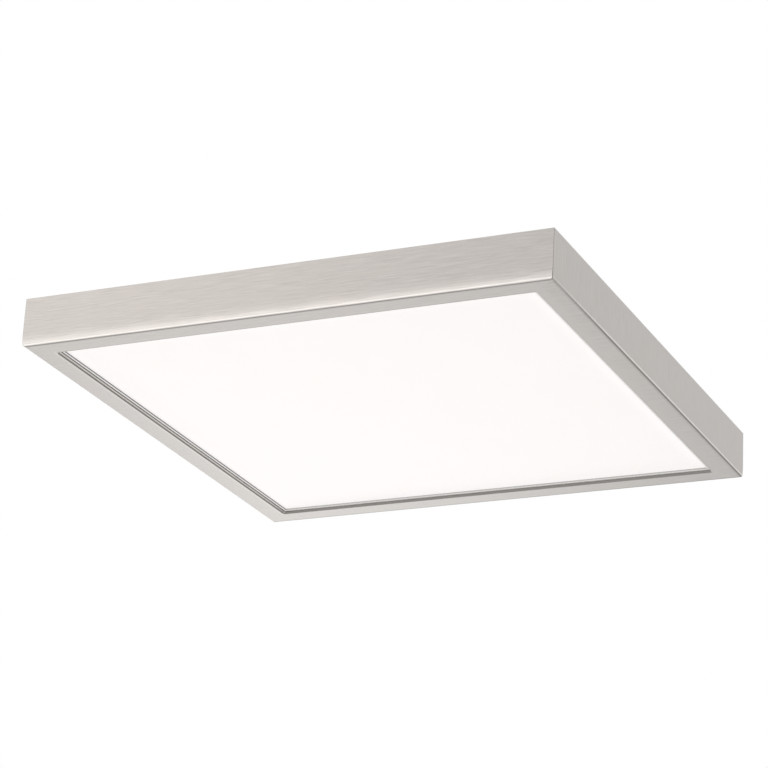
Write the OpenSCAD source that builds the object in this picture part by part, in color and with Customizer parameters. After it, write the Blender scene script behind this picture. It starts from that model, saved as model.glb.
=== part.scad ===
/* [Fixture] */
// Side of the square fixture, outside its walls
fixture_w = 381; // [370:1:420]
// Height from the ceiling down to the face of the bezel
fixture_h = 34.3; // [34:0.1:44]

/* [Housing] */
// Thickness of the folded sheet
sheet_t = 0.8; // [0.6:0.1:1]
// Width of the bezel, from the outside of the wall to the lip
bezel_w = 18.5; // [17.5:0.1:21]
// Outside radius of the bend between the wall and the bezel
wall_bend_r = 1.8; // [1.4:0.1:2.4]
// Outside radius of the bend between the bezel and the lip
lip_bend_r = 1.4; // [1.1:0.1:1.9]
// Height of the lip, from the face of the bezel
lip_h = 2; // [1.9:0.1:2.8]
// Radius of the opening's corners
opening_r = 2.5; // [1.5:0.1:4]
// Width of the relief slit at the foot of each corner seam
slit_w = 0.3; // [0.2:0.05:0.6]
// Height of the relief slit, from the face of the bezel
slit_h = 5; // [3:0.5:8]

/* [Lens frame] */
// Gap between the housing wall and the frame's top flange
flange_gap = 2; // [1.5:0.1:2.6]
// Overhang of the top flange outside the web
flange_w = 5.2; // [5:0.1:5.6]
// Thickness of the top flange
flange_t = 2; // [1.6:0.1:2.4]
// Thickness of the web and of the bottom flange
rail_t = 1; // [0.8:0.1:1.2]
// Height of the rails
rail_h = 10.2; // [10:0.1:11]
// How far the bottom flange shows inside the lip
ledge_w = 2; // [1.5:0.1:3]
// Thickness of the corner brackets
bracket_t = 1; // [0.8:0.1:1.4]
// Length of each leg of a corner bracket
bracket_l = 28; // [24:1:34]

/* [Light engine] */
// Thickness of the opal lens
lens_t = 2; // [1.6:0.1:2.4]
// Thickness of the diffuser film
film_t = 0.25; // [0.2:0.05:0.4]
// Thickness of the light guide plate
guide_t = 3; // [2.8:0.1:3.4]
// Thickness of the reflector sheet
reflector_t = 0.4; // [0.3:0.05:0.6]
// Play between the sheets and the frame or the LEDs
sheet_play = 0.5; // [0.4:0.1:0.8]
// Height of the LED boards
board_h = 7.6; // [7.2:0.1:7.9]
// Thickness of the LED boards
board_t = 1; // [0.8:0.1:1.2]
// Spacing of the LED packages
led_pitch = 12; // [10:0.5:16]
// Length of a LED package along the board
led_l = 3.5; // [3:0.1:4]
// Height of a LED package
led_w = 2.8; // [2.4:0.1:3]
// Thickness of a LED package
led_t = 0.8; // [0.7:0.05:1]
// Length of the foam strips
foam_l = 300; // [260:5:320]
// Width of the foam strips
foam_w = 18; // [12:1:20]

/* [Back cover] */
// Thickness of the back cover
cover_t = 0.8; // [0.6:0.1:1.2]
// Height of the stiffening beads
bead_h = 1.2; // [0.8:0.1:1.6]
// Width of the stiffening beads
bead_w = 12; // [10:0.5:14]
// Length of the stiffening beads
bead_l = 170; // [140:5:180]
// Radius of the weld studs
stud_r = 1.5; // [1.4:0.05:1.6]
// How far the studs stand out of their nuts
stud_end = 1.5; // [1:0.1:2.5]
// Spacing of the two studs on each side
stud_gap = 220; // [200:5:240]
// Width of the stud nuts across their flats
nut_flats = 5.5; // [5:0.1:5.8]
// Height of the stud nuts
nut_h = 2.4; // [2:0.1:3]
// Radius of the cover screws
cover_screw_r = 1.3; // [1.1:0.05:1.5]
// Spacing of the two cover screws on each side
cover_screw_gap = 130; // [110:5:150]

/* [Ceiling plate] */
// Side of the square ceiling plate
plate_w = 200; // [190:1:210]
// Thickness of the ceiling plate
plate_t = 1.2; // [1:0.1:1.6]
// Depth of its turned-down flanges
plate_flange_h = 12; // [11:0.5:13]
// Length of its turned-down flanges
plate_flange_l = 130; // [110:5:140]
// Radius of the wire hole in the plate
wire_hole_r = 11.1; // [10.5:0.1:12]
// Radius of the bore of the wire bushing
wire_bore_r = 8; // [7:0.1:9]
// Distance between the two outlet box screws
box_screw_gap = 88.9; // [85:0.1:92]
// Smallest screw spacing that the box slots take
slot_gap_min = 69.85; // [66:0.05:72]
// Radius of the outlet box screws
box_screw_r = 2.08; // [1.95:0.01:2.2]
// How far the outlet box screws stand above the plate
box_screw_l = 22; // [16:1:26]
// Spacing of the four anchor holes in the plate's corners
anchor_gap = 168; // [160:1:176]
// Radius of the anchor holes
anchor_r = 2.4; // [2.2:0.1:2.8]
// Distance of the ground screw from the plate's centre
ground_y = 27; // [24:1:32]
// Radius of the ground screw
ground_screw_r = 2.08; // [1.95:0.01:2.2]

/* [Catches] */
// Thickness of the leaf springs
spring_t = 0.5; // [0.4:0.05:0.6]
// Width of the leaf springs
spring_w = 20; // [18:1:24]
// How far the springs bulge out of the plate's flanges
spring_bulge = 6.5; // [6:0.1:7]
// Thickness of the catch brackets
catch_t = 1; // [0.8:0.1:1.2]
// Width of the catch brackets
catch_w = 32; // [30:1:36]
// Gap between the plate's flanges and the catch brackets
catch_gap = 3.2; // [3:0.1:3.5]
// Depth of the catch brackets' feet
catch_foot = 14; // [12:0.5:16]
// Radius of the rivets
rivet_r = 1.5; // [1.3:0.1:1.7]

/* [Driver] */
// Length of the driver case
driver_l = 120; // [110:1:130]
// Width of the driver case
driver_w = 44; // [40:1:48]
// Height of the driver case with its cover
driver_h = 17.5; // [16.5:0.1:18]
// Wall of the driver case
driver_wall = 1.2; // [1:0.1:1.5]
// Distance of the driver from the fixture's centre
driver_y = 62; // [58:1:64]
// Thickness of the driver's circuit board
circuit_t = 1.6; // [1.2:0.1:1.8]
// Height of the posts under the circuit board
post_h = 2.5; // [2:0.1:3]
// Radius of the screws that hold the driver down
driver_screw_r = 1.75; // [1.5:0.05:1.9]
// Radius of one lead
lead_r = 0.9; // [0.7:0.05:1]

/* [Hidden] */
$fn = 48;

// Clearances
hole_play = 0.2;
snug = 0.05;
apart = 0.3;

// Colours
nickel = [0.76, 0.74, 0.72];
zinc = [0.70, 0.72, 0.74];
aluminium = [0.80, 0.81, 0.82];
white = [0.96, 0.96, 0.95];

// Half sizes and levels, measured from the ceiling
half_w = fixture_w / 2;
open_half = half_w - bezel_w;
face_z = -fixture_h;
rail_z = face_z + lip_h;
lens_z = rail_z + rail_t;
film_z = lens_z + lens_t;
guide_z = film_z + film_t;
reflector_z = guide_z + guide_t;
foam_z = reflector_z + reflector_t;
cover_z = rail_z + rail_h;
cover_top = cover_z + cover_t;
led_z = guide_z + guide_t / 2;
eps = 0.5;

// Distances in from the outside of the wall
flange_d = sheet_t + flange_gap;
web_d = flange_d + flange_w;
web_in_d = web_d + rail_t;
ledge_d = bezel_w + ledge_w;
fixing_d = flange_d + flange_w / 2;
board_in_d = web_in_d + board_t;
guide_d = board_in_d + led_t + sheet_play;

// The sheets between the rails
stack_x = fixture_w - 2 * guide_d;
stack_y = fixture_w - 2 * (web_in_d + sheet_play);
board_l = fixture_w - 2 * (web_in_d + sheet_play);
led_count = floor((board_l - led_pitch) / led_pitch) + 1;
board_z = lens_z + apart;
foam_inner_y = 35;
foam_outer_y = 142;
foam_rows = [-foam_outer_y, -foam_inner_y, foam_inner_y, foam_outer_y];

// Screws and rivets
screw_head_r = 2.6;
screw_head_h = 1.4;
corner_screw_r = 1;
corner_head_r = 1.8;
corner_head_h = 1.2;
cross_l = 2.4;
cross_w = 0.6;
cross_h = 0.8;
rivet_head_r = 2.6;
rivet_head_h = 0.8;
bracket_end = 7;
corner_screw_in = bracket_l - bracket_end;
thread_end = 1;

// Beads of the back cover
bead_in = 32;
bead_side_shift = -30;

// Ceiling plate
plate_half = plate_w / 2;
slot_play = 0.32;
slot_half_w = box_screw_r + slot_play;
box_neck_r = 1.75;
box_head_r = 4;
box_head_h = 2.4;
bush_flange_r = 13.5;
bush_flange_h = 1.2;
bush_rise = 0.8;
ground_washer_r = 5;
ground_washer_h = 0.8;
ground_hex_r = 4.2;
ground_hex_h = 2.6;
ground_tip = 4;

// Leaf springs: the distance out of the flange, and the height
spring_top_z = -2.6;
spring_root_z = -10.4;
spring_apex_z = -15.2;
spring_tip_z = -19.2;
spring_tip_out = 1.2;
spring_rivet_gap = 11;
spring_rivet_z = -6.5;
spring_mid = spring_t / 2;
spring_slope = (spring_root_z - spring_apex_z) / (spring_bulge - spring_mid);

// Catch brackets: the window's top bears on the slope of the spring
catch_in = plate_half + catch_gap;
window_top = spring_root_z - spring_slope * (catch_gap - spring_mid)
    + spring_t / 2 * sqrt(1 + spring_slope * spring_slope) + apart;
window_h = 7.6;
window_low = window_top - window_h;
window_w = spring_w + 2;
catch_top = -3.2;
catch_rivet_gap = 16;
catch_rivet_out = (catch_t + catch_foot) / 2 + catch_t / 2;

// Driver
lid_t = driver_wall;
lid_skirt_h = 3;
tray_h = driver_h - lid_t;
ear_l = 11;
ear_t = 1.6;
ear_hole = 5.5;
driver_head_r = 3.5;
circuit_z = cover_top + driver_wall + post_h;
circuit_top = circuit_z + circuit_t;
circuit_gap = 1.2;
post_r = 2.2;
post_in = 5;
terminal_l = 15;
terminal_w = 18;
terminal_h = 9;
terminal_out = 1;
port_w = 2.4;
port_pitch = 5;
port_l = 9;
port_z = 3.15;
transformer_x = 4;
bobbin_l = 20;
bobbin_w = 18;
bobbin_h = 7.6;
bobbin_t = 1.2;
bobbin_rim = 2;
choke_x = -24;
choke_shift = 8;
choke_r = 7.6;
choke_hole_r = 4;
choke_h = 5;
large_cap_shift = 9;
large_cap_r = 5;
large_cap_h = 8.4;
small_cap_x = 27;
small_cap_shift = 8.5;
small_cap_r = 4;
small_cap_h = 8;
output_w = 9;
output_l = 7;
output_h = 6;
lead_door_w = 8;
lead_door_h = 5;

// Leads: they leave the driver's right end, and go down near the LED boards
lead_gap = 2.4;
grommet_in = 18.5;
grommet_x = half_w - grommet_in;
grommet_bore_r = 2.9;
grommet_neck_r = 4;
grommet_flange_r = 5.4;
grommet_flange_h = 0.7;
lead_turn = 1.8;
lead_steps = 4;
lead_sides = 8;
lead_rest = 0.1;
lead_dip = 2.3;
lead_low_z = cover_z - lead_dip;
lead_lie_z = cover_top + lead_r + lead_rest;
lead_hop_z = lead_lie_z + grommet_flange_h;
lead_hop_in = grommet_flange_r + 2;
lead_rise_in = lead_hop_in + 9;
lead_out_z = circuit_top + output_h / 2;
lead_start_x = driver_l / 2 - driver_wall - circuit_gap;
lead_drop_x = driver_l / 2 + 17;
lead_turn_x = driver_l / 2 + 18;
lead_drop_y = driver_y + driver_w / 2 - 2;
lead_back_y = (driver_y + driver_w / 2 + catch_in) / 2;
lead_side_x = grommet_x - 20;
board_face_x = half_w - board_in_d;
clip_l = 7;
clip_w = 8;
clip_wall = 1.2;
clip_right_x = [grommet_x - 54, grommet_x - 22];
clip_back_x = [40, -50, 32 - lead_side_x];

module on_sides() {
    for (turn = [0:90:270]) rotate([0, 0, turn]) children();
}

module side_pairs(gap) {
    on_sides() for (side = [-1, 1]) translate([side * gap / 2, -half_w + fixing_d, 0])
        children();
}

module rounded_square(half, r) {
    square([2 * half, 2 * (half - r)], center = true);
    square([2 * (half - r), 2 * half], center = true);
    for (x = [-1, 1], y = [-1, 1]) translate([x * (half - r), y * (half - r)])
        circle(r);
}

module folded_section(half, h, r) {
    translate([-half, r]) square([2 * half, h - r]);
    translate([-(half - r), 0]) square([2 * (half - r), h]);
    for (x = [-1, 1]) translate([x * (half - r), r]) circle(r);
}

module folded_block(half, h, r) {
    intersection() {
        rotate([90, 0, 0]) linear_extrude(2 * half, center = true)
            folded_section(half, h, r);
        rotate([90, 0, 90]) linear_extrude(2 * half, center = true)
            folded_section(half, h, r);
    }
}

module lip_bend_section() {
    difference() {
        translate([-eps, -eps]) square(lip_bend_r + eps);
        translate([lip_bend_r, lip_bend_r]) circle(lip_bend_r);
    }
}

module lip_bend() {
    straight = open_half - opening_r;
    on_sides() {
        translate([0, -open_half, 0]) rotate([90, 0, -90])
            linear_extrude(2 * straight, center = true) lip_bend_section();
        translate([straight, -straight, 0]) rotate([0, 0, -90])
            rotate_extrude(angle = 90) translate([opening_r, 0]) lip_bend_section();
    }
}

module housing() {
    color(nickel) translate([0, 0, face_z]) difference() {
        union() {
            difference() {
                folded_block(half_w, fixture_h, wall_bend_r);
                translate([0, 0, sheet_t])
                    folded_block(half_w - sheet_t, fixture_h, wall_bend_r - sheet_t);
            }
            translate([0, 0, sheet_t / 2]) linear_extrude(lip_h - sheet_t / 2)
                rounded_square(open_half + sheet_t, opening_r + sheet_t);
        }
        translate([0, 0, -eps]) linear_extrude(lip_h + 2 * eps)
            rounded_square(open_half, opening_r);
        lip_bend();
        on_sides() translate([half_w, -half_w, slit_h / 2 - eps]) rotate([0, 0, 45])
            cube([slit_w, 4 * sheet_t, slit_h + eps], center = true);
    }
}

module weld_studs() {
    color(zinc) side_pairs(stud_gap) translate([0, 0, face_z + sheet_t])
        cylinder(r = stud_r, h = cover_top + nut_h + stud_end - face_z - sheet_t);
}

module stud_nuts() {
    color(zinc) side_pairs(stud_gap) translate([0, 0, cover_top]) difference() {
        cylinder(d = nut_flats / cos(30), h = nut_h, $fn = 6);
        translate([0, 0, -eps]) cylinder(r = stud_r + snug, h = nut_h + 2 * eps);
    }
}

module rail_section() {
    polygon([[web_d, 0], [ledge_d, 0], [ledge_d, rail_t], [web_in_d, rail_t],
        [web_in_d, rail_h], [flange_d, rail_h], [flange_d, rail_h - flange_t],
        [web_d, rail_h - flange_t]]);
}

module rail(turn) {
    color(white) rotate([0, 0, turn]) translate([0, 0, rail_z]) difference() {
        intersection() {
            rotate([90, 0, 90]) linear_extrude(fixture_w, center = true)
                translate([-half_w, 0]) rail_section();
            linear_extrude(rail_h)
                polygon([[0, 0], [-half_w, -half_w], [half_w, -half_w]]);
        }
        for (side = [-1, 1]) translate([0, -half_w + fixing_d, rail_h - flange_t - eps]) {
            translate([side * stud_gap / 2, 0, 0])
                cylinder(r = stud_r + hole_play, h = flange_t + 2 * eps);
            translate([side * cover_screw_gap / 2, 0, 0])
                cylinder(r = cover_screw_r + snug, h = flange_t + 2 * eps);
            translate([side * (half_w - fixing_d - corner_screw_in), 0, 0])
                cylinder(r = corner_screw_r + snug, h = flange_t + 2 * eps);
        }
    }
}

module rail_front() {
    rail(0);
}

module rail_right() {
    rail(90);
}

module rail_back() {
    rail(180);
}

module rail_left() {
    rail(270);
}

module corner_fixings() {
    reach = half_w - fixing_d;
    on_sides() for (way = [0, 1]) translate([reach - way * corner_screw_in,
        -reach + (1 - way) * corner_screw_in, cover_z - flange_t - bracket_t]) children();
}

module corner_brackets() {
    inset = flange_d + apart;
    leg_w = web_d - inset - apart;
    color(zinc) difference() {
        on_sides() translate([half_w - inset, -half_w + inset,
            cover_z - flange_t - bracket_t]) linear_extrude(bracket_t) {
            translate([-bracket_l, 0]) square([bracket_l, leg_w]);
            translate([-leg_w, 0]) square([leg_w, bracket_l]);
        }
        corner_fixings() translate([0, 0, -eps])
            cylinder(r = corner_screw_r + snug, h = bracket_t + 2 * eps);
    }
}

module pan_screw(r, l, head_r, head_h) {
    difference() {
        union() {
            translate([0, 0, -l]) cylinder(r = r, h = l + head_h / 2);
            cylinder(r = head_r, h = head_h);
        }
        for (turn = [0, 90]) rotate([0, 0, turn]) translate([0, 0, head_h])
            cube([cross_l, cross_w, 2 * cross_h], center = true);
    }
}

module corner_screws() {
    color(zinc) corner_fixings() mirror([0, 0, 1])
        pan_screw(corner_screw_r, bracket_t + flange_t - apart, corner_head_r,
            corner_head_h);
}

module stack_sheet(z, t) {
    translate([-stack_x / 2, -stack_y / 2, z]) cube([stack_x, stack_y, t]);
}

module lens() {
    color(white) stack_sheet(lens_z, lens_t);
}

module diffuser_film() {
    color("white") stack_sheet(film_z, film_t);
}

module light_guide() {
    color([0.85, 0.92, 0.95]) stack_sheet(guide_z, guide_t);
}

module reflector_sheet() {
    color("white") stack_sheet(reflector_z, reflector_t);
}

module led_board(side) {
    color(white) translate([side * (board_face_x + board_t / 2), 0, board_z + board_h / 2])
        cube([board_t, board_l, board_h], center = true);
}

module led_board_left() {
    led_board(-1);
}

module led_board_right() {
    led_board(1);
}

module leds(side) {
    color([0.95, 0.88, 0.45]) for (i = [0:led_count - 1])
        translate([side * (board_face_x - led_t / 2), (i - (led_count - 1) / 2) * led_pitch,
            led_z]) cube([led_t, led_l, led_w], center = true);
}

module leds_left() {
    leds(-1);
}

module leds_right() {
    leds(1);
}

module foam_strips() {
    color([0.25, 0.25, 0.26]) for (y = foam_rows) translate([0, y, (foam_z + cover_z) / 2])
        cube([foam_l, foam_w, cover_z - foam_z], center = true);
}

module bead_outline(l, w) {
    square([l - w, w], center = true);
    for (side = [-1, 1]) translate([side * (l - w) / 2, 0]) circle(w / 2);
}

module beads(grow, h) {
    for (turn = [0, 180]) rotate([0, 0, turn]) translate([0, -half_w + bead_in, 0])
        linear_extrude(h) bead_outline(bead_l - grow, bead_w - grow);
    for (side = [-1, 1]) translate([side * (half_w - bead_in), bead_side_shift, 0])
        rotate([0, 0, 90]) linear_extrude(h) bead_outline(bead_l - grow, bead_w - grow);
}

module back_cover() {
    side = fixture_w - 2 * flange_d;
    color(zinc) difference() {
        union() {
            translate([-side / 2, -side / 2, cover_z]) cube([side, side, cover_t]);
            translate([0, 0, cover_z + cover_t / 2]) beads(0, cover_t / 2 + bead_h);
        }
        translate([0, 0, cover_z - eps]) beads(2 * cover_t, bead_h + eps);
        translate([0, 0, cover_z - eps]) {
            through = cover_t + 2 * eps;
            side_pairs(stud_gap) cylinder(r = stud_r + hole_play, h = through);
            side_pairs(cover_screw_gap) cylinder(r = cover_screw_r + hole_play, h = through);
            catch_rivet_places() cylinder(r = rivet_r + snug, h = through);
            driver_screw_places() cylinder(r = driver_screw_r + snug, h = through);
            grommet_places() cylinder(r = grommet_neck_r + snug, h = through);
        }
    }
}

module cover_screws() {
    color(zinc) side_pairs(cover_screw_gap) translate([0, 0, cover_top])
        pan_screw(cover_screw_r, cover_t + flange_t + thread_end, screw_head_r,
            screw_head_h);
}

module slot(r) {
    from = slot_gap_min / 2;
    to = box_screw_gap / 2;
    for (side = [-1, 1]) translate([side * (from + to) / 2, 0])
        square([to - from, 2 * r], center = true);
    for (x = [-to, -from, from, to]) translate([x, 0]) circle(r);
}

module spring_rivet_places() {
    on_sides() for (side = [-1, 1]) translate([plate_half - plate_t,
        side * spring_rivet_gap / 2, spring_rivet_z]) rotate([0, 90, 0]) children();
}

module mounting_plate() {
    color(zinc) difference() {
        union() {
            translate([0, 0, -plate_t]) linear_extrude(plate_t)
                square(plate_w, center = true);
            on_sides() translate([plate_half - plate_t, -plate_flange_l / 2,
                -plate_flange_h]) cube([plate_t, plate_flange_l, plate_flange_h]);
        }
        translate([0, 0, -plate_t - eps]) linear_extrude(plate_t + 2 * eps) {
            circle(wire_hole_r);
            slot(slot_half_w);
            translate([0, -ground_y]) circle(ground_screw_r + snug);
            for (x = [-1, 1], y = [-1, 1])
                translate([x * anchor_gap / 2, y * anchor_gap / 2]) circle(anchor_r);
        }
        spring_rivet_places() translate([0, 0, -eps])
            cylinder(r = rivet_r + snug, h = plate_t + 2 * eps);
    }
}

module wire_bushing() {
    color([0.15, 0.15, 0.16]) translate([0, 0, -plate_t - bush_flange_h]) difference() {
        union() {
            cylinder(r = bush_flange_r, h = bush_flange_h);
            cylinder(r = wire_hole_r - 2 * snug, h = bush_flange_h + plate_t + bush_rise);
        }
        translate([0, 0, -eps])
            cylinder(r = wire_bore_r, h = bush_flange_h + plate_t + bush_rise + 2 * eps);
    }
}

module outlet_box_screws() {
    color(zinc) for (side = [-1, 1]) translate([side * box_screw_gap / 2, 0, 0]) {
        cylinder(r = box_screw_r, h = box_screw_l);
        translate([0, 0, -plate_t]) mirror([0, 0, 1])
            pan_screw(box_neck_r, plate_t + eps, box_head_r, box_head_h);
    }
}

module ground_screw() {
    color([0.1, 0.5, 0.25]) translate([0, -ground_y, -plate_t]) mirror([0, 0, 1])
        difference() {
            union() {
                cylinder(r = ground_washer_r, h = ground_washer_h);
                cylinder(r = ground_hex_r, h = ground_hex_h, $fn = 6);
                translate([0, 0, -plate_t - ground_tip])
                    cylinder(r = ground_screw_r, h = plate_t + ground_tip + eps);
            }
            translate([0, 0, ground_hex_h])
                cube([2 * cross_l, cross_w, 2 * cross_h], center = true);
        }
}

// A bent strip: its two edges run beside its bend points, with a mitre at each bend
function across(a, b) = let (d = (b - a) / norm(b - a)) [-d[1], d[0]];
function strip_edge(p, out) = let (last = len(p) - 1) [for (i = [0:last])
    let (before = across(p[max(i - 1, 0)], p[max(i, 1)]),
        after = across(p[min(i, last - 1)], p[min(i + 1, last)]))
    p[i] + out * (before + after) / (1 + before * after)];
function reversed(p) = [for (i = [len(p) - 1:-1:0]) p[i]];

module leaf_spring() {
    bends = [[spring_mid, spring_top_z], [spring_mid, spring_root_z],
        [spring_bulge, spring_apex_z], [spring_tip_out, spring_tip_z]];
    translate([plate_half, 0, 0]) rotate([90, 0, 0]) linear_extrude(spring_w, center = true)
        polygon(concat(strip_edge(bends, spring_mid), reversed(strip_edge(bends, -spring_mid))));
}

module leaf_springs() {
    color([0.45, 0.48, 0.55]) difference() {
        on_sides() leaf_spring();
        spring_rivet_places() cylinder(r = rivet_r + snug, h = plate_t + spring_t + eps);
    }
}

module rivet(grip) {
    translate([0, 0, -rivet_head_h]) cylinder(r = rivet_head_r, h = rivet_head_h);
    translate([0, 0, -eps]) cylinder(r = rivet_r, h = grip + 2 * eps);
    translate([0, 0, grip]) cylinder(r = rivet_head_r, h = rivet_head_h);
}

module spring_rivets() {
    color(aluminium) spring_rivet_places() rivet(plate_t + spring_t);
}

module catch_rivet_places() {
    on_sides() for (side = [-1, 1])
        translate([catch_in + catch_rivet_out, side * catch_rivet_gap / 2, 0]) children();
}

module catch_brackets() {
    color(zinc) difference() {
        on_sides() translate([catch_in, -catch_w / 2, cover_top]) {
            cube([catch_t, catch_w, catch_top - cover_top]);
            cube([catch_foot, catch_w, catch_t]);
        }
        on_sides() translate([catch_in - eps, -window_w / 2, window_low])
            cube([catch_t + 2 * eps, window_w, window_top - window_low]);
        catch_rivet_places() translate([0, 0, cover_top - eps])
            cylinder(r = rivet_r + snug, h = catch_t + 2 * eps);
    }
}

module catch_rivets() {
    color(aluminium) catch_rivet_places() translate([0, 0, cover_z])
        rivet(cover_t + catch_t);
}

module driver_screw_places() {
    for (side = [-1, 1])
        translate([side * (driver_l / 2 + ear_hole), driver_y, 0]) children();
}

module post_places() {
    for (x = [-1, 1], y = [-1, 1])
        translate([x * (driver_l / 2 - driver_wall - post_in),
            driver_y + y * (driver_w / 2 - driver_wall - post_in), 0]) children();
}

module driver_tray() {
    color(aluminium) difference() {
        union() {
            translate([-driver_l / 2, driver_y - driver_w / 2, cover_top]) difference() {
                cube([driver_l, driver_w, tray_h]);
                translate([driver_wall, driver_wall, driver_wall])
                    cube([driver_l - 2 * driver_wall, driver_w - 2 * driver_wall, tray_h]);
            }
            translate([-driver_l / 2 - ear_l, driver_y - driver_w / 4, cover_top])
                cube([ear_l + eps, driver_w / 2, ear_t]);
            translate([driver_l / 2 - eps, driver_y - driver_w / 4, cover_top])
                cube([ear_l + eps, driver_w / 2, ear_t]);
            post_places() translate([0, 0, cover_top + driver_wall / 2])
                cylinder(r = post_r, h = post_h + driver_wall / 2);
        }
        driver_screw_places() translate([0, 0, cover_top - eps])
            cylinder(r = driver_screw_r + hole_play, h = ear_t + 2 * eps);
        translate([-driver_l / 2 - eps, driver_y - terminal_w / 2 - hole_play,
            circuit_top - hole_play])
            cube([driver_wall + 2 * eps, terminal_w + 2 * hole_play,
                terminal_h + 2 * hole_play]);
        translate([driver_l / 2 - driver_wall - eps, driver_y - lead_door_w / 2,
            lead_out_z - lead_door_h / 2])
            cube([driver_wall + 2 * eps, lead_door_w, lead_door_h]);
    }
}

module driver_cover() {
    inner_l = driver_l - 2 * (driver_wall + hole_play);
    inner_w = driver_w - 2 * (driver_wall + hole_play);
    color(aluminium) translate([0, driver_y, cover_top + tray_h]) {
        translate([-driver_l / 2, -driver_w / 2, 0]) cube([driver_l, driver_w, lid_t]);
        for (side = [-1, 1]) translate([-inner_l / 2 + post_in,
            side * (inner_w / 2 - driver_wall / 2) - driver_wall / 2, -lid_skirt_h])
            cube([inner_l - 2 * post_in, driver_wall, lid_skirt_h + lid_t / 2]);
    }
}

module driver_screws() {
    color(zinc) driver_screw_places() translate([0, 0, cover_top + ear_t])
        pan_screw(driver_screw_r, ear_t + cover_t + thread_end, driver_head_r,
            screw_head_h);
}

module driver_board() {
    l = driver_l - 2 * (driver_wall + circuit_gap);
    w = driver_w - 2 * (driver_wall + circuit_gap);
    color([0.1, 0.4, 0.2]) translate([-l / 2, driver_y - w / 2, circuit_z])
        cube([l, w, circuit_t]);
}

module block_on(l, w, h) {
    translate([-l / 2, -w / 2, 0]) cube([l, w, h]);
}

module driver_transformer() {
    color([0.9, 0.75, 0.2]) translate([transformer_x, driver_y, circuit_top]) {
        block_on(bobbin_l, bobbin_w, bobbin_t);
        block_on(bobbin_l - 2 * bobbin_rim, bobbin_w - 2 * bobbin_rim, bobbin_h);
        translate([0, 0, bobbin_h - bobbin_t]) block_on(bobbin_l, bobbin_w, bobbin_t);
    }
}

module driver_choke() {
    color([0.65, 0.35, 0.15]) translate([choke_x, driver_y + choke_shift, circuit_top])
        rotate_extrude() translate([choke_hole_r, 0])
            square([choke_r - choke_hole_r, choke_h]);
}

module driver_capacitors() {
    color([0.12, 0.13, 0.2]) {
        translate([choke_x, driver_y - large_cap_shift, circuit_top])
            cylinder(r = large_cap_r, h = large_cap_h);
        for (side = [-1, 1])
            translate([small_cap_x, driver_y + side * small_cap_shift, circuit_top])
                cylinder(r = small_cap_r, h = small_cap_h);
    }
}

module output_connector() {
    color(white) translate([lead_start_x - output_l, driver_y - output_w / 2, circuit_top])
        cube([output_l, output_w, output_h]);
}

module supply_terminal() {
    color([0.85, 0.85, 0.82]) translate([-driver_l / 2 - terminal_out,
        driver_y - terminal_w / 2, circuit_top]) difference() {
        cube([terminal_l, terminal_w, terminal_h]);
        for (i = [-1:1]) translate([-eps, terminal_w / 2 + i * port_pitch - port_w / 2,
            port_z]) cube([port_l + eps, port_w, port_w]);
    }
}

// Leads: corners are rounded, then a tube follows the path with its rings carried along
function unit(v) = v / norm(v);
function turned(a, c, b, r, steps) = let (from = c + r * unit(a - c), to = c + r * unit(b - c))
    [for (i = [0:steps]) let (t = i / steps)
        pow(1 - t, 2) * from + 2 * t * (1 - t) * c + t * t * to];
function rounded_route(p, r, steps) = concat([p[0]],
    [for (i = [1:len(p) - 2]) each turned(p[i - 1], p[i], p[i + 1], r, steps)],
    [p[len(p) - 1]]);
function headings(p) = let (last = len(p) - 1)
    [for (i = [0:last]) unit(p[min(i + 1, last)] - p[max(i - 1, 0)])];
function carried(t) = [for (i = 0, n = [0, 1, 0]; i < len(t); i = i + 1,
    n = i < len(t) ? unit(n - (n * t[i]) * t[i]) : n) n];

module tube(p, r, sides) {
    t = headings(p);
    n = carried(t);
    last = len(p) - 1;
    rings = [for (i = [0:last], k = [0:sides - 1])
        p[i] + r * (cos(360 * k / sides) * n[i] + sin(360 * k / sides) * cross(t[i], n[i]))];
    walls = [for (i = [0:last - 1], k = [0:sides - 1], half = [0, 1])
        let (a = i * sides + k, b = i * sides + (k + 1) % sides)
        half == 0 ? [a, a + sides, b] : [b, a + sides, b + sides]];
    ends = [[for (k = [0:sides - 1]) k], [for (k = [0:sides - 1]) last * sides + sides - 1 - k]];
    polyhedron(points = rings, faces = concat(ends, walls));
}

module lead_to_right(shift) {
    y = driver_y + shift;
    z = lead_out_z - lead_gap / 2;
    route = [[lead_start_x, y, z], [driver_l / 2 + ear_l / 2, y, z],
        [lead_drop_x, y, lead_lie_z], [grommet_x - lead_rise_in, y, lead_lie_z],
        [grommet_x - lead_hop_in, y, lead_hop_z], [grommet_x, y, lead_hop_z],
        [grommet_x, y, lead_low_z], [board_face_x, y, lead_low_z]];
    tube(rounded_route(route, lead_turn, lead_steps), lead_r, lead_sides);
}

module lead_to_left(shift) {
    y = driver_y + shift;
    z = lead_out_z + lead_gap / 2;
    route = [[lead_start_x, y, z], [lead_turn_x - shift, y, z],
        [lead_turn_x - shift, driver_y + driver_w / 4, z],
        [lead_turn_x - shift, lead_drop_y, lead_lie_z],
        [lead_turn_x - shift, lead_back_y - shift, lead_lie_z],
        [-lead_side_x + shift, lead_back_y - shift, lead_lie_z],
        [-lead_side_x + shift, driver_y - shift, lead_lie_z],
        [-grommet_x + lead_hop_in, driver_y - shift, lead_hop_z],
        [-grommet_x, driver_y - shift, lead_hop_z],
        [-grommet_x, driver_y - shift, lead_low_z],
        [-board_face_x, driver_y - shift, lead_low_z]];
    tube(rounded_route(route, lead_turn, lead_steps), lead_r, lead_sides);
}

module red_leads() {
    color("red") {
        lead_to_right(-lead_gap / 2);
        lead_to_left(-lead_gap / 2);
    }
}

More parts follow.
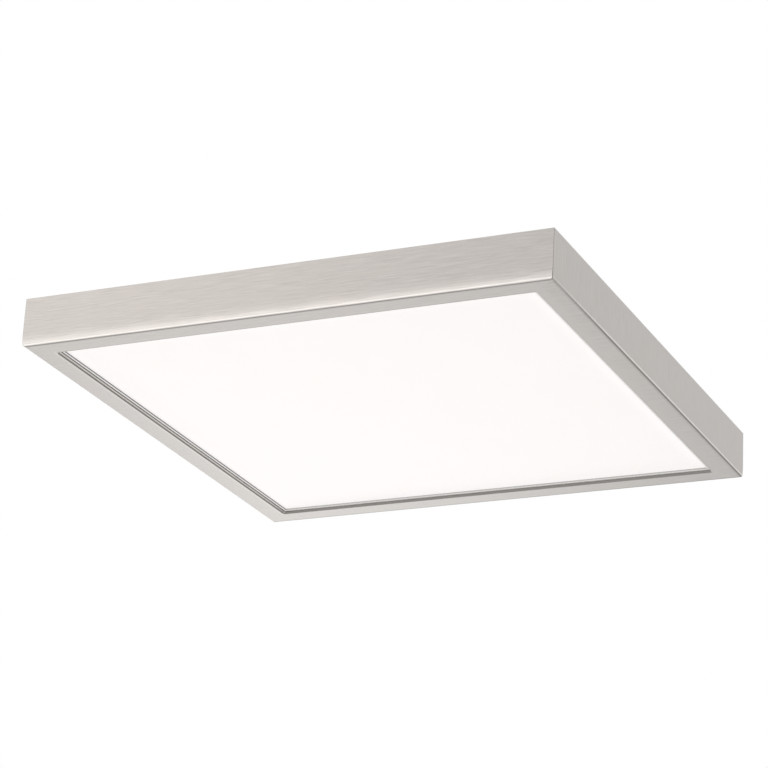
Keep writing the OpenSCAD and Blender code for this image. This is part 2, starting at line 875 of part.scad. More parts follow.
module black_leads() {
    color([0.1, 0.1, 0.1]) {
        lead_to_right(lead_gap / 2);
        lead_to_left(lead_gap / 2);
    }
}

module grommet_places() {
    for (side = [-1, 1]) translate([side * grommet_x, driver_y, 0]) children();
}

module lead_grommets() {
    color([0.15, 0.15, 0.16]) grommet_places() difference() {
        union() {
            translate([0, 0, cover_z - grommet_flange_h])
                cylinder(r = grommet_flange_r, h = grommet_flange_h);
            translate([0, 0, cover_z - eps])
                cylinder(r = grommet_neck_r, h = cover_t + 2 * eps);
            translate([0, 0, cover_top])
                cylinder(r = grommet_flange_r, h = grommet_flange_h);
        }
        translate([0, 0, cover_z - 2 * eps])
            cylinder(r = grommet_bore_r, h = cover_t + 4 * eps);
    }
}

module lead_clip() {
    tunnel_w = lead_gap + 2 * (lead_r + apart);
    tunnel_h = lead_lie_z - cover_top + lead_r + apart;
    translate([0, 0, cover_top]) difference() {
        translate([-clip_l / 2, -clip_w / 2, 0]) cube([clip_l, clip_w, tunnel_h + clip_wall]);
        translate([-clip_l, -tunnel_w / 2, -eps]) cube([2 * clip_l, tunnel_w, tunnel_h + eps]);
    }
}

module lead_clips() {
    color(white) {
        for (x = clip_right_x) translate([x, driver_y, 0]) lead_clip();
        for (x = clip_back_x) translate([x, lead_back_y, 0]) lead_clip();
        translate([-lead_side_x, (driver_y + lead_back_y) / 2, 0]) rotate([0, 0, 90])
            lead_clip();
    }
}

mounting_plate();
wire_bushing();
outlet_box_screws();
ground_screw();
leaf_springs();
spring_rivets();
housing();
weld_studs();
stud_nuts();
rail_front();
rail_back();
rail_left();
rail_right();
corner_brackets();
corner_screws();
lens();
diffuser_film();
light_guide();
reflector_sheet();
led_board_left();
led_board_right();
leds_left();
leds_right();
foam_strips();
back_cover();
cover_screws();
catch_brackets();
catch_rivets();
driver_tray();
driver_cover();
driver_screws();
driver_board();
driver_transformer();
driver_choke();
driver_capacitors();
output_connector();
supply_terminal();
red_leads();
black_leads();
lead_grommets();
lead_clips();
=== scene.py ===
import math

import bmesh
import bpy
from mathutils import Matrix, Vector


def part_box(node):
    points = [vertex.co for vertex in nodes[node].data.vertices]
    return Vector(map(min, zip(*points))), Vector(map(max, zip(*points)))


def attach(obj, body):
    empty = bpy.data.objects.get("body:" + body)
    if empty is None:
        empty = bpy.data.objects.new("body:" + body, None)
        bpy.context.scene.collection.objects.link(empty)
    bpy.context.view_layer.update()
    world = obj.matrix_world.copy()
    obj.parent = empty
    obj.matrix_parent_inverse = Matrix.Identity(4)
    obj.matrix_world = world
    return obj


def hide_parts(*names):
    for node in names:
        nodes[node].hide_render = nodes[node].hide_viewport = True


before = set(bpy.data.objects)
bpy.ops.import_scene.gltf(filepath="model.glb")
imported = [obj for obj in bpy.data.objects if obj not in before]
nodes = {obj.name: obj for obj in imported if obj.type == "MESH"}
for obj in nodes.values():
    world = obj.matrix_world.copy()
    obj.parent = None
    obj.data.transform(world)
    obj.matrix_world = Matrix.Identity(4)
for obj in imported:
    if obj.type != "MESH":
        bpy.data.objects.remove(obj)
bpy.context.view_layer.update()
scene = bpy.context.scene
scene.view_settings.view_transform = "Standard"

# Camera
# A long lens looks up at the light from below, from the front right, tilted a little.
camera_data = bpy.data.cameras.new("camera")
camera_data.sensor_width = 36
camera_data.lens = 137.54
camera_data.clip_start = 0.05
camera_data.clip_end = 60
camera = bpy.data.objects.new("camera", camera_data)
camera.location = (0.8144, -1.7341, -0.7561)
camera.rotation_euler = [math.radians(turn) for turn in (111.259, -2.968, 24.309)]
scene.collection.objects.link(camera)
scene.camera = camera


# Studio
# A white room: an even sky, a soft box high at the front left, one low behind on the left, and a
# wide one low in front that lights the folded lower edge. The floor lies far below, so that no
# view from underneath meets it.
ROOM_LEVEL = 0.80
FLOOR_DROP = 2.7
FLOOR_HALF = 9.0


def new_material(name):
    material = bpy.data.materials.new(name)
    material.use_nodes = True
    tree = material.node_tree
    return material, tree, tree.nodes["Principled BSDF"]


def seen_directly(tree):
    """1 for what the camera sees, also through glass or in metal, and 0 for what lights."""
    path = tree.nodes.new("ShaderNodeLightPath")
    seen = path.outputs["Is Camera Ray"]
    for ray in ("Is Glossy Ray", "Is Transmission Ray"):
        larger = tree.nodes.new("ShaderNodeMath")
        larger.operation = "MAXIMUM"
        tree.links.new(seen, larger.inputs[0])
        tree.links.new(path.outputs[ray], larger.inputs[1])
        seen = larger.outputs["Value"]
    return seen


def light_room():
    world = bpy.data.worlds.new("white_room")
    world.use_nodes = True
    scene.world = world
    tree = world.node_tree
    lit = tree.nodes["Background"]
    lit.inputs["Color"].default_value = (1, 0.99, 0.98, 1)
    lit.inputs["Strength"].default_value = ROOM_LEVEL
    seen = tree.nodes.new("ShaderNodeBackground")
    seen.inputs["Color"].default_value = (1, 1, 1, 1)
    seen.inputs["Strength"].default_value = 1
    mix = tree.nodes.new("ShaderNodeMixShader")
    tree.links.new(seen_directly(tree), mix.inputs["Fac"])
    tree.links.new(lit.outputs["Background"], mix.inputs[1])
    tree.links.new(seen.outputs["Background"], mix.inputs[2])
    tree.links.new(mix.outputs["Shader"], tree.nodes["World Output"].inputs["Surface"])


def lay_floor():
    mesh = bpy.data.meshes.new("floor")
    h = FLOOR_HALF
    mesh.from_pydata([(-h, -h, 0), (h, -h, 0), (h, h, 0), (-h, h, 0)], [], [(0, 1, 2, 3)])
    floor = bpy.data.objects.new("floor", mesh)
    floor.location = (0, 0, -FLOOR_DROP)
    scene.collection.objects.link(floor)
    material, tree, paint = new_material("pale_floor")
    paint.inputs["Base Color"].default_value = (0.9, 0.9, 0.9, 1)
    paint.inputs["Roughness"].default_value = 0.9
    glow = tree.nodes.new("ShaderNodeEmission")
    glow.inputs["Strength"].default_value = 1
    mix = tree.nodes.new("ShaderNodeMixShader")
    tree.links.new(seen_directly(tree), mix.inputs["Fac"])
    tree.links.new(paint.outputs["BSDF"], mix.inputs[1])
    tree.links.new(glow.outputs["Emission"], mix.inputs[2])
    out = tree.nodes["Material Output"]
    tree.links.new(mix.outputs["Shader"], out.inputs["Surface"])
    mesh.materials.append(material)


def soft_box(name, place, size, power, colour):
    data = bpy.data.lights.new(name, "AREA")
    data.shape = "DISK"
    data.size = size
    data.energy = power
    data.color = colour
    lamp = bpy.data.objects.new(name, data)
    lamp.location = place
    lamp.rotation_euler = (-Vector(place)).to_track_quat("-Z", "Y").to_euler()
    lamp.visible_camera = False
    scene.collection.objects.link(lamp)


light_room()
lay_floor()
soft_box("soft_box_front", (-1.38, -1.92, 0.90), 1.2, 2.0, (1.0, 0.955, 0.91))
soft_box("soft_box_back", (-1.36, 2.20, -0.30), 1.5, 3.9, (1.0, 1.0, 1.0))
soft_box("soft_box_edge", (-1.08, -1.63, -1.39), 2.0, 5, (1.0, 0.99, 0.98))


# Housing
# One sheet of steel, plated with brushed nickel, cut, folded up into four walls, and folded in
# round the opening into a short lip. The walls meet at the corners in a tight seam, with a
# relief slit at its foot.
HALF_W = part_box("housing")[1].x
FACE_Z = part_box("housing")[0].z
TOP_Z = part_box("housing")[1].z
SHEET_T = 0.0008
BEZEL_W = 0.0185
WALL_BEND_R = 0.0018
LIP_BEND_R = 0.0014
LIP_H = 0.002
OPENING_R = 0.0013
WELD_DIST = 2e-7
# The seam is deeper in its foot, which reaches from the slit's top up to this height
SEAM_DEPTH = 0.00022
SEAM_FOOT_DEPTH = 0.00035
SEAM_FOOT_H = 0.009
SLIT_H = 0.005
# The foot of each wall leans in a little: by how much at the face, and from what height
LEAN = 0.00035
LEAN_H = 0.009
# Where the rows of points run: heights up the wall, and shares of the way in across the bezel.
# The folds are made in steps, and the slit runs on over most of the wall's.
WALL_ROWS = (TOP_Z - FACE_Z, 0.026, 0.014, 0.0095, 0.0085, 0.0075, 0.0066, 0.0058, 0.00503,
             0.00497, 0.0042, 0.0034, 0.0026)
BEZEL_ROWS = (0.06, 0.3, 0.6, 0.92)
WALL_FOLD_STEPS = 10
SLIT_FOLD_STEPS = 8
LIP_FOLD_STEPS = 9
# How far each point near a corner stays from it along the wall, and how far it dips inwards
SEAM_ENDS = [(0.0012, 0), (0.0006, 0), (0.00028, 0), (0.0002, 0.00001), (0.00014, 0.00003),
             (0.0001, 0.00006), (0, SEAM_DEPTH)]
FOOT_ENDS = [(0.0012, 0), (0.0006, 0), (0.00034, 0), (0.00027, 0.00001), (0.00021, 0.00003),
             (0.00017, 0.00007), (0, SEAM_FOOT_DEPTH)]
SLIT_ENDS = [(0.0012, 0), (0.0006, 0), (0.00045, 0), (0.00036, 0), (0.00029, 0.00002),
             (0.00024, 0.00005), (0.00021, 0.0001)]
JOIN_ENDS = [(0.0012, 0), (0.0006, 0), (0.00045, 0), (0.00036, 0), (0.00029, 0), (0.00015, 0),
             (0, 0)]


def arc(centre, r, start, end, steps):
    turns = [math.radians(start + (end - start) * i / steps) for i in range(steps + 1)]
    return [(centre[0] + r * math.cos(t), centre[1] + r * math.sin(t)) for t in turns]


def lean_at(height):
    return LEAN * max(0.0, 1 - height / LEAN_H) ** 2


def sheet_rows():
    """Rows across the sheet, from the wall's top to the lip: the outer and the inner point, as
    distance in and height, how the row ends at a corner, and how round the corner is there."""
    rows = []
    for height in WALL_ROWS:
        lean = lean_at(height)
        ends = SLIT_ENDS if height < SLIT_H else FOOT_ENDS if height < SEAM_FOOT_H else SEAM_ENDS
        rows.append(((lean, height), (lean + SHEET_T, height), ends, 0))
    start = 180 + math.degrees(2 * LEAN / LEAN_H)
    meet = WALL_BEND_R * (1 + math.sin(math.radians(start)))
    foot = lean_at(meet) - WALL_BEND_R * math.cos(math.radians(start))
    outer = arc((foot, WALL_BEND_R), WALL_BEND_R, start, 270, WALL_FOLD_STEPS)
    inner = arc((foot, WALL_BEND_R), WALL_BEND_R - SHEET_T, start, 270, WALL_FOLD_STEPS)
    for i, (out, back) in enumerate(zip(outer, inner)):
        rows.append((out, back, SLIT_ENDS if i < SLIT_FOLD_STEPS else JOIN_ENDS, 0))
    lip_foot = BEZEL_W - LIP_BEND_R
    for share in BEZEL_ROWS:
        d = foot + (lip_foot - foot) * share
        rows.append(((d, 0), (d, SHEET_T), JOIN_ENDS, share))
    outer = arc((lip_foot, LIP_BEND_R), LIP_BEND_R, 270, 360, LIP_FOLD_STEPS)
    inner = arc((lip_foot, LIP_BEND_R), LIP_BEND_R - SHEET_T, 270, 360, LIP_FOLD_STEPS)
    rows += [(out, back, JOIN_ENDS, 1) for out, back in zip(outer, inner)]
    rows.append(((BEZEL_W, LIP_H), (BEZEL_W - SHEET_T, LIP_H), JOIN_ENDS, 1))
    return rows


def corner_point(point, ends, roundness, step, inner):
    """A point of the front wall near its right end: x, y and height above the face."""
    d, height = point
    back, dip = ends[step]
    if inner:
        dip = 0
    square = Vector((HALF_W - d - dip - back, -(HALF_W - d - dip), height))
    centre = HALF_W - BEZEL_W - OPENING_R
    r = OPENING_R + BEZEL_W - d
    turn = math.radians(45) * step / (len(ends) - 1)
    curved = Vector((centre + r * math.sin(turn), -(centre + r * math.cos(turn)), height))
    return square.lerp(curved, roundness)


def unfolded(rows):
    """How far out each row lies from the centre when the sheet is flat."""
    flat = next(i for i, row in enumerate(rows) if row[3] > 0)
    reach = [0.0] * len(rows)
    reach[flat] = HALF_W - rows[flat][0][0]
    for i in range(flat - 1, -1, -1):
        reach[i] = reach[i + 1] + math.dist(rows[i][0], rows[i + 1][0])
    for i in range(flat + 1, len(rows)):
        reach[i] = reach[i - 1] - math.dist(rows[i][0], rows[i - 1][0])
    return reach


def fold_housing():
    rows = sheet_rows()
    reach = unfolded(rows)
    last = len(SEAM_ENDS) - 1
    mesh = bmesh.new()
    uv = mesh.loops.layers.uv.new("sheet")

    def stations(i, inner):
        row = rows[i]
        right = [corner_point(row[inner], row[2], row[3], j, inner) for j in range(last + 1)]
        return [Vector((-p.x, p.y, p.z)) for p in reversed(right)] + right

    def face(corners, turn):
        spin = Matrix.Rotation(math.radians(90 * turn), 3, "Z")
        lift = Vector((0, 0, FACE_Z))
        made = mesh.faces.new([mesh.verts.new(spin @ p + lift) for p, i in corners])
        for loop, (p, i) in zip(made.loops, corners):
            loop[uv].uv = (spin @ Vector((p.x, -reach[i], 0))).xy
        made.smooth = True

    grid = [[stations(i, inner) for inner in (0, 1)] for i in range(len(rows))]
    count = 2 * (last + 1)
    for turn in range(4):
        for i in range(len(rows) - 1):
            for j in range(count - 1):
                a, b = grid[i][0], grid[i + 1][0]
                face([(a[j], i), (b[j], i + 1), (b[j + 1], i + 1), (a[j + 1], i)], turn)
                a, b = grid[i][1], grid[i + 1][1]
                face([(a[j + 1], i), (b[j + 1], i + 1), (b[j], i + 1), (a[j], i)], turn)
            if SLIT_ENDS in (rows[i][2], rows[i + 1][2]):
                for j, step in ((0, -1), (count - 1, 1)):
                    ends = [(grid[i][0][j], i), (grid[i + 1][0][j], i + 1),
                            (grid[i + 1][1][j], i + 1), (grid[i][1][j], i)]
                    face(ends[::step], turn)
        for i, step in ((0, 1), (len(rows) - 1, -1)):
            for j in range(count - 1):
                rim = [(grid[i][0][j], i), (grid[i][0][j + 1], i), (grid[i][1][j + 1], i),
                       (grid[i][1][j], i)]
                face(rim[::step], turn)
    bmesh.ops.remove_doubles(mesh, verts=mesh.verts, dist=WELD_DIST)
    bmesh.ops.recalc_face_normals(mesh, faces=mesh.faces)
    return mesh


# A face smaller or narrower than this belongs to a rounding, and is shaded smooth
SMALL_FACE = 2.5e-5
NARROW_FACE = 0.0015


def smoothed(mesh, angle):
    """Shades a mesh smooth, apart from large flat faces and edges sharper than this angle."""
    for face in mesh.faces:
        long_side = max(edge.calc_length() for edge in face.edges)
        area = face.calc_area()
        face.smooth = area < SMALL_FACE or area / long_side < NARROW_FACE
    for edge in mesh.edges:
        edge.smooth = edge.is_manifold and edge.calc_face_angle(0) < math.radians(angle)
    return mesh


def put(name, mesh, material, body, slot, *replaced):
    """Makes the object of a mesh and hands it to the frame, in place of CAD nodes."""
    data = bpy.data.meshes.new(name)
    mesh.to_mesh(data)
    mesh.free()
    data.materials.append(material)
    piece = bpy.data.objects.new(name, data)
    scene.collection.objects.link(piece)
    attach(piece, body)
    if replaced:
        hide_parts(*replaced)
    return piece


def new_group(name, inputs, outputs):
    """A shader node group: its tree, and its input and output nodes."""
    group = bpy.data.node_groups.new(name, "ShaderNodeTree")
    for label, kind, value in inputs:
        made = group.interface.new_socket(label, in_out="INPUT", socket_type=kind)
        if value is not None:
            made.default_value = value
    for label, kind in outputs:
        group.interface.new_socket(label, in_out="OUTPUT", socket_type=kind)
    return group, group.nodes.new("NodeGroupInput"), group.nodes.new("NodeGroupOutput")


def wire(tree, node, links):
    for name, source in links:
        if isinstance(source, bpy.types.NodeSocket):
            tree.links.new(source, node.inputs[name])
        else:
            node.inputs[name].default_value = source
    return node


def add(tree, kind, *links, **values):
    """Adds a node: links are (input, socket or value) pairs, values set its own properties."""
    node = tree.nodes.new("ShaderNode" + kind)
    for name, value in values.items():
        setattr(node, name, value)
    return wire(tree, node, links)


def maths(tree, operation, *values):
    """What a Math node makes of one or two sockets or values."""
    return add(tree, "Math", *enumerate(values), operation=operation).outputs[0]


def place(tree, group, *links):
    node = tree.nodes.new("ShaderNodeGroup")
    node.node_tree = group
    return wire(tree, node, links)


NOISE_LOW = 0.3
NOISE_HIGH = 0.7


def spread(tree, source, low, high):
    """Maps a noise value, which lies mostly between its own low and high, to these two."""
    node = add(tree, "MapRange", ("Value", source), ("From Min", NOISE_LOW),
               ("From Max", NOISE_HIGH), ("To Min", low), ("To Max", high))
    return node.outputs["Result"]


def between(tree, factor, dark, light):
    node = add(tree, "MixRGB", ("Fac", factor), ("Color1", dark), ("Color2", light))
    return node.outputs["Color"]


def make_streaks():
    """Long fine scratches along x of the given vector, and slow unevenness between them."""
    group, inside, outside = new_group(
        "streaks", [("Vector", "NodeSocketVector", None), ("Length", "NodeSocketFloat", 0.03),
                    ("Width", "NodeSocketFloat", 0.0004)],
        [("Fine", "NodeSocketFloat"), ("Broad", "NodeSocketFloat")])
    size = add(group, "CombineXYZ", ("X", inside.outputs["Length"]),
               ("Y", inside.outputs["Width"]), ("Z", inside.outputs["Width"]))
    scaled = add(group, "VectorMath", (0, inside.outputs["Vector"]), (1, size.outputs[0]),
                 operation="DIVIDE")
    fine = add(group, "TexNoise", ("Vector", scaled.outputs[0]), ("Scale", 1.0),
               ("Detail", 4.0), ("Roughness", 0.7))
    wide = add(group, "VectorMath", (0, scaled.outputs[0]), (1, (0.3, 0.12, 0.12)),
               operation="MULTIPLY")
    broad = add(group, "TexNoise", ("Vector", wide.outputs[0]), ("Scale", 1.0),
                ("Detail", 3.0), ("Roughness", 0.6))
    group.links.new(fine.outputs["Fac"], outside.inputs["Fine"])
    group.links.new(broad.outputs["Fac"], outside.inputs["Broad"])
    return group


streaks = make_streaks()


# The plating's tone at distances from the sheet's centre, with painted shade and highlight. Along
# the front and back sides, which are brushed lengthwise, both folds are painted dark as shade,
# and the wall above the outer one carries a painted highlight.
LONG_PAINTED_LIGHT = [(0.1700, 1.05), (0.1707, 1.00), (0.1711, 0.62), (0.1715, 0.38), (0.1723, 0.50),
              (0.1733, 0.56), (0.1741, 0.82), (0.1749, 1.05), (0.1764, 1.0), (0.1868, 1.0),
              (0.1879, 0.74), (0.1884, 0.50), (0.1889, 0.55), (0.1894, 1.32), (0.1900, 1.62),
              (0.1908, 1.58), (0.1916, 1.42), (0.1925, 1.30), (0.1940, 1.14), (0.1960, 1.06),
              (0.1990, 1.0)]
# Along the other two sides, brushed across, each fold is painted as a dark line of shade with a
# highlight beside it
CROSS_PAINTED_LIGHT = [(0.1700, 0.24), (0.1708, 0.26), (0.1712, 1.32), (0.1719, 1.25), (0.1725, 0.36),
               (0.1731, 0.26), (0.1737, 0.98), (0.1744, 1.17), (0.1760, 1.00), (0.1873, 0.97),
               (0.1887, 0.87), (0.1892, 0.80), (0.1896, 0.38), (0.1900, 0.42), (0.1904, 1.0),
               (0.1908, 1.44), (0.1911, 1.50), (0.1916, 1.0), (0.1922, 0.93)]
# On the right the inner fold is painted with dull shade all over and no highlight, up to where
# the bezel is flat
BEZEL_FLAT = 0.1760
RIGHT_PAINTED_LIGHT = [(0.1700, 0.24), (0.1708, 0.26), (0.1713, 0.80), (0.1724, 0.62), (0.1730, 0.66),
               (0.1738, 0.97)]
RIGHT_PAINTED_LIGHT += [(reach, tone) for reach, tone in CROSS_PAINTED_LIGHT if reach >= BEZEL_FLAT]
# A tone is kept as a share of this one, because a colour ramp ends at 1
TONE_TOP = 1.7
# The right side's outer fold, from here outwards, has fainter painted shade and highlight lines
# towards the front corner
OUTER_FOLD = 0.180
FAINT_FROM = -0.175
FAINT_TO = -0.090
FAINT_SHARE = 0.6
PLAIN_TONE = (0.94, 0.94, 0.94, 1)


def banded(tree, distance, tones):
    """A tone that changes with distance, from a list of distances and tones."""
    low, high = tones[0][0], tones[-1][0]
    share = add(tree, "MapRange", ("Value", distance), ("From Min", low), ("From Max", high))
    ramp = add(tree, "ValToRGB", ("Fac", share.outputs["Result"]))
    points = ramp.color_ramp.elements
    while len(points) < len(tones):
        points.new(0.5)
    for point, (at, tone) in zip(points, tones):
        point.position = (at - low) / (high - low)
        point.color = (tone / TONE_TOP, tone / TONE_TOP, tone / TONE_TOP, 1)
    return maths(tree, "MULTIPLY", ramp.outputs["Color"], TONE_TOP)


def brushed_nickel():
    material, tree, metal = new_material("brushed_nickel")
    sheet = add(tree, "UVMap", uv_map="sheet").outputs["UV"]
    grain = place(tree, streaks, ("Vector", sheet), ("Length", 0.022), ("Width", 0.0008))
    tone = between(tree, spread(tree, grain.outputs["Fine"], 0, 1),
                   (0.383, 0.364, 0.350, 1), (0.597, 0.565, 0.540, 1))
    slow = add(tree, "TexNoise", ("Vector", sheet), ("Scale", 16.0), ("Detail", 1.0))
    hue = between(tree, spread(tree, slow.outputs["Fac"], 0, 1), (0.516, 0.474, 0.456, 1),
                  (0.496, 0.480, 0.446, 1))
    cloud = between(tree, spread(tree, grain.outputs["Broad"], 0.1, 0.6), tone, hue)
    x, y = add(tree, "SeparateXYZ", ("Vector", sheet)).outputs[:2]
    far_x = maths(tree, "ABSOLUTE", x)
    far_y = maths(tree, "ABSOLUTE", y)
    # The folds' painted shade and highlights, from the tables above, multiply the plating's tone
    across = between(tree, maths(tree, "GREATER_THAN", x, 0), banded(tree, far_x, CROSS_PAINTED_LIGHT),
                     banded(tree, far_x, RIGHT_PAINTED_LIGHT))
    faint = add(tree, "MapRange", ("Value", y), ("From Min", FAINT_FROM),
                ("From Max", FAINT_TO), ("To Min", FAINT_SHARE), ("To Max", 0.0))
    faded = maths(tree, "MULTIPLY", maths(tree, "GREATER_THAN", x, OUTER_FOLD),
                  faint.outputs["Result"])
    painted_light_bands = between(tree, maths(tree, "GREATER_THAN", far_x, far_y),
                    banded(tree, far_y, LONG_PAINTED_LIGHT), between(tree, faded, across, PLAIN_TONE))
    level = add(tree, "VectorMath", (0, cloud), (1, painted_light_bands), operation="MULTIPLY")
    height = add(tree, "Bump", ("Height", grain.outputs["Fine"]), ("Strength", 0.12),
                 ("Distance", 0.00006))
    tree.links.new(level.outputs[0], metal.inputs["Base Color"])
    tree.links.new(spread(tree, grain.outputs["Fine"], 0.29, 0.37), metal.inputs["Roughness"])
    tree.links.new(height.outputs["Normal"], metal.inputs["Normal"])
    metal.inputs["Metallic"].default_value = 1
    return material


FOLD_ANGLE = 28
put("housing_sheet", smoothed(fold_housing(), FOLD_ANGLE), brushed_nickel(), "fixture",
    "brushed_nickel", "housing")


# Weld studs and stud nuts
# Eight steel studs, welded to the inside of the bezel, stand up through the lens frame and the
# back cover, and zinc-plated hex nuts draw all three together.
STUD_R = 0.0015
STUD_PITCH = 0.0005
# How deep a thread is cut, as a share of its pitch
THREAD_DEPTH = 0.55
SAME_POINT = 1e-6
FLAT_ANGLE = math.radians(0.6)
SHADE_ANGLE = 38
THREAD_ANGLE = 60


def cad_mesh(node):
    """A copy of a CAD node's mesh, with flat areas rid of their triangles."""
    mesh = bmesh.new()
    mesh.from_mesh(nodes[node].data)
    bmesh.ops.remove_doubles(mesh, verts=mesh.verts, dist=SAME_POINT)
    bmesh.ops.dissolve_limit(mesh, angle_limit=FLAT_ANGLE, verts=mesh.verts, edges=mesh.edges)
    return mesh


def eased(mesh, width, steps=2, longest=1.0, angle=35):
    """Rounds the sharp edges, up to a given length, by this width."""
    sharp = [edge for edge in mesh.edges if edge.is_manifold
             and edge.calc_face_angle(0) > math.radians(angle) and edge.calc_length() < longest]
    bmesh.ops.bevel(mesh, geom=sharp, offset=width, segments=steps, profile=0.5,
                    affect="EDGES", clamp_overlap=True)
    return smoothed(mesh, SHADE_ANGLE)


def dress(name, node, material, body, slot, *easing):
    """Puts a piece in place of one CAD node: the same form, with its sharp edges eased."""
    return put(name, eased(cad_mesh(node), *easing), material, body, slot, node)


def skin(mesh, rings):
    """Joins rings of points, each with as many, and closes both ends."""
    for a, b in zip(rings, rings[1:]):
        for k in range(len(a)):
            n = (k + 1) % len(a)
            mesh.faces.new((a[k], a[n], b[n], b[k]))
    mesh.faces.new(rings[0][::-1])
    mesh.faces.new(rings[-1])


def threaded_rod(mesh, x, y, low, high, r, pitch, sides=24, steps=6):
    """Adds an upright threaded rod: a ridge winds round it from end to end."""
    count = max(2, round((high - low) / pitch * steps))
    rings = []
    for i in range(count + 1):
        z = low + (high - low) * i / count
        ring = []
        for k in range(sides):
            turn = (z / pitch + k / sides) % 1
            ridge = 1 if i in (0, count) else abs(2 * turn - 1)
            point_r = r - THREAD_DEPTH * pitch * ridge
            a = 2 * math.pi * k / sides
            ring.append(mesh.verts.new((x + point_r * math.cos(a), y + point_r * math.sin(a), z)))
        rings.append(ring)
    skin(mesh, rings)


def middles(node):
    """The middle of each separate solid of a CAD node, with its lowest and highest z."""
    mesh = cad_mesh(node)
    left = set(mesh.verts)
    found = []
    while left:
        first = left.pop()
        group, queue = {first}, [first]
        while queue:
            for edge in queue.pop().link_edges:
                for other in edge.verts:
                    if other in left:
                        left.remove(other)
                        group.add(other)
                        queue.append(other)
        xs, ys, zs = zip(*(v.co for v in group))
        found.append(((min(xs) + max(xs)) / 2, (min(ys) + max(ys)) / 2, min(zs), max(zs)))
    mesh.free()
    return sorted(found)


def make_speckle():
    """Fine grit and broad clouds over a surface, and a mask of small stains."""
    group, inside, outside = new_group(
        "speckle", [("Vector", "NodeSocketVector", None), ("Size", "NodeSocketFloat", 0.001)],
        [("Grit", "NodeSocketFloat"), ("Clouds", "NodeSocketFloat"),
         ("Stains", "NodeSocketFloat")])
    scaled = add(group, "VectorMath", (0, inside.outputs["Vector"]),
                 ("Scale", 1.0), operation="SCALE")
    group.links.new(maths(group, "DIVIDE", 1, inside.outputs["Size"]), scaled.inputs["Scale"])
    grit = add(group, "TexNoise", ("Vector", scaled.outputs[0]), ("Scale", 1.0),
               ("Detail", 3.0), ("Roughness", 0.65))
    clouds = add(group, "TexNoise", ("Vector", scaled.outputs[0]), ("Scale", 0.045),
                 ("Detail", 4.0), ("Roughness", 0.6))
    stains = add(group, "TexNoise", ("Vector", scaled.outputs[0]), ("Scale", 0.16),
                 ("Detail", 5.0), ("Roughness", 0.7), ("Distortion", 0.6))
    mask = add(group, "MapRange", ("Value", stains.outputs["Fac"]), ("From Min", 0.58),
               ("From Max", 0.70))
    group.links.new(grit.outputs["Fac"], outside.inputs["Grit"])
    group.links.new(clouds.outputs["Fac"], outside.inputs["Clouds"])
    group.links.new(mask.outputs["Result"], outside.inputs["Stains"])
    return group


speckle = make_speckle()


# How deep fine relief is, how strongly it is drawn, and how much of a stain shows
FINE_DEPTH = 0.00004
RELIEF_GAIN = 4
STAIN_SHARE = 0.45


def surface(name, dark, light, stain, rough, metallic=0, size=0.0006, relief=0.06, coat=0):
    """A finish with grit, clouds and faint stains: two tones, a stain tone and a roughness
    range. Size is how coarse its grit is, and relief how far it stands out."""
    material, tree, shader = new_material(name)
    where = add(tree, "TexCoord").outputs["Object"]
    marks = place(tree, speckle, ("Vector", where), ("Size", size))
    tone = between(tree, spread(tree, marks.outputs["Clouds"], 0, 1), dark + (1,), light + (1,))
    mottled = between(tree, spread(tree, marks.outputs["Grit"], 0, 0.35), tone, light + (1,))
    weak = maths(tree, "MULTIPLY", marks.outputs["Stains"], STAIN_SHARE)
    stained = between(tree, weak, mottled, stain + (1,))
    height = add(tree, "Bump", ("Height", marks.outputs["Grit"]),
                 ("Strength", relief * RELIEF_GAIN), ("Distance", FINE_DEPTH))
    tree.links.new(stained, shader.inputs["Base Color"])
    tree.links.new(spread(tree, marks.outputs["Clouds"], *rough), shader.inputs["Roughness"])
    tree.links.new(height.outputs["Normal"], shader.inputs["Normal"])
    shader.inputs["Metallic"].default_value = metallic
    shader.inputs["Coat Weight"].default_value = coat
    return material


bright_zinc = surface("bright_zinc", (0.50, 0.52, 0.55), (0.64, 0.66, 0.69),
                      (0.52, 0.50, 0.44), (0.22, 0.36), metallic=1, size=0.0004)


def thread_studs():
    mesh = bmesh.new()
    for x, y, low, high in middles("weld_studs"):
        threaded_rod(mesh, x, y, low, high, STUD_R, STUD_PITCH)
    return smoothed(mesh, THREAD_ANGLE)


put("stud_threads", thread_studs(), bright_zinc, "fixture", "zinc_screws", "weld_studs")
dress("stud_hex_nuts", "stud_nuts", bright_zinc, "fixture", "zinc_screws", 0.00022, 3)


# Lens frame
# Four mitred rails of extruded aluminium, coated satin white, which carry the lens on a narrow
# ledge. Steel angle plates under the top flanges, each held by two screws, join the corners.
RAIL_EDGE = 0.00015
# Just above the ledge's top, on which the lens lies
LEDGE_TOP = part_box("lens")[0].z + 0.0001
# Beyond this distance from the middle, the left and right ledges lie in the shade of the lip
SHADE_FROM = 0.1716


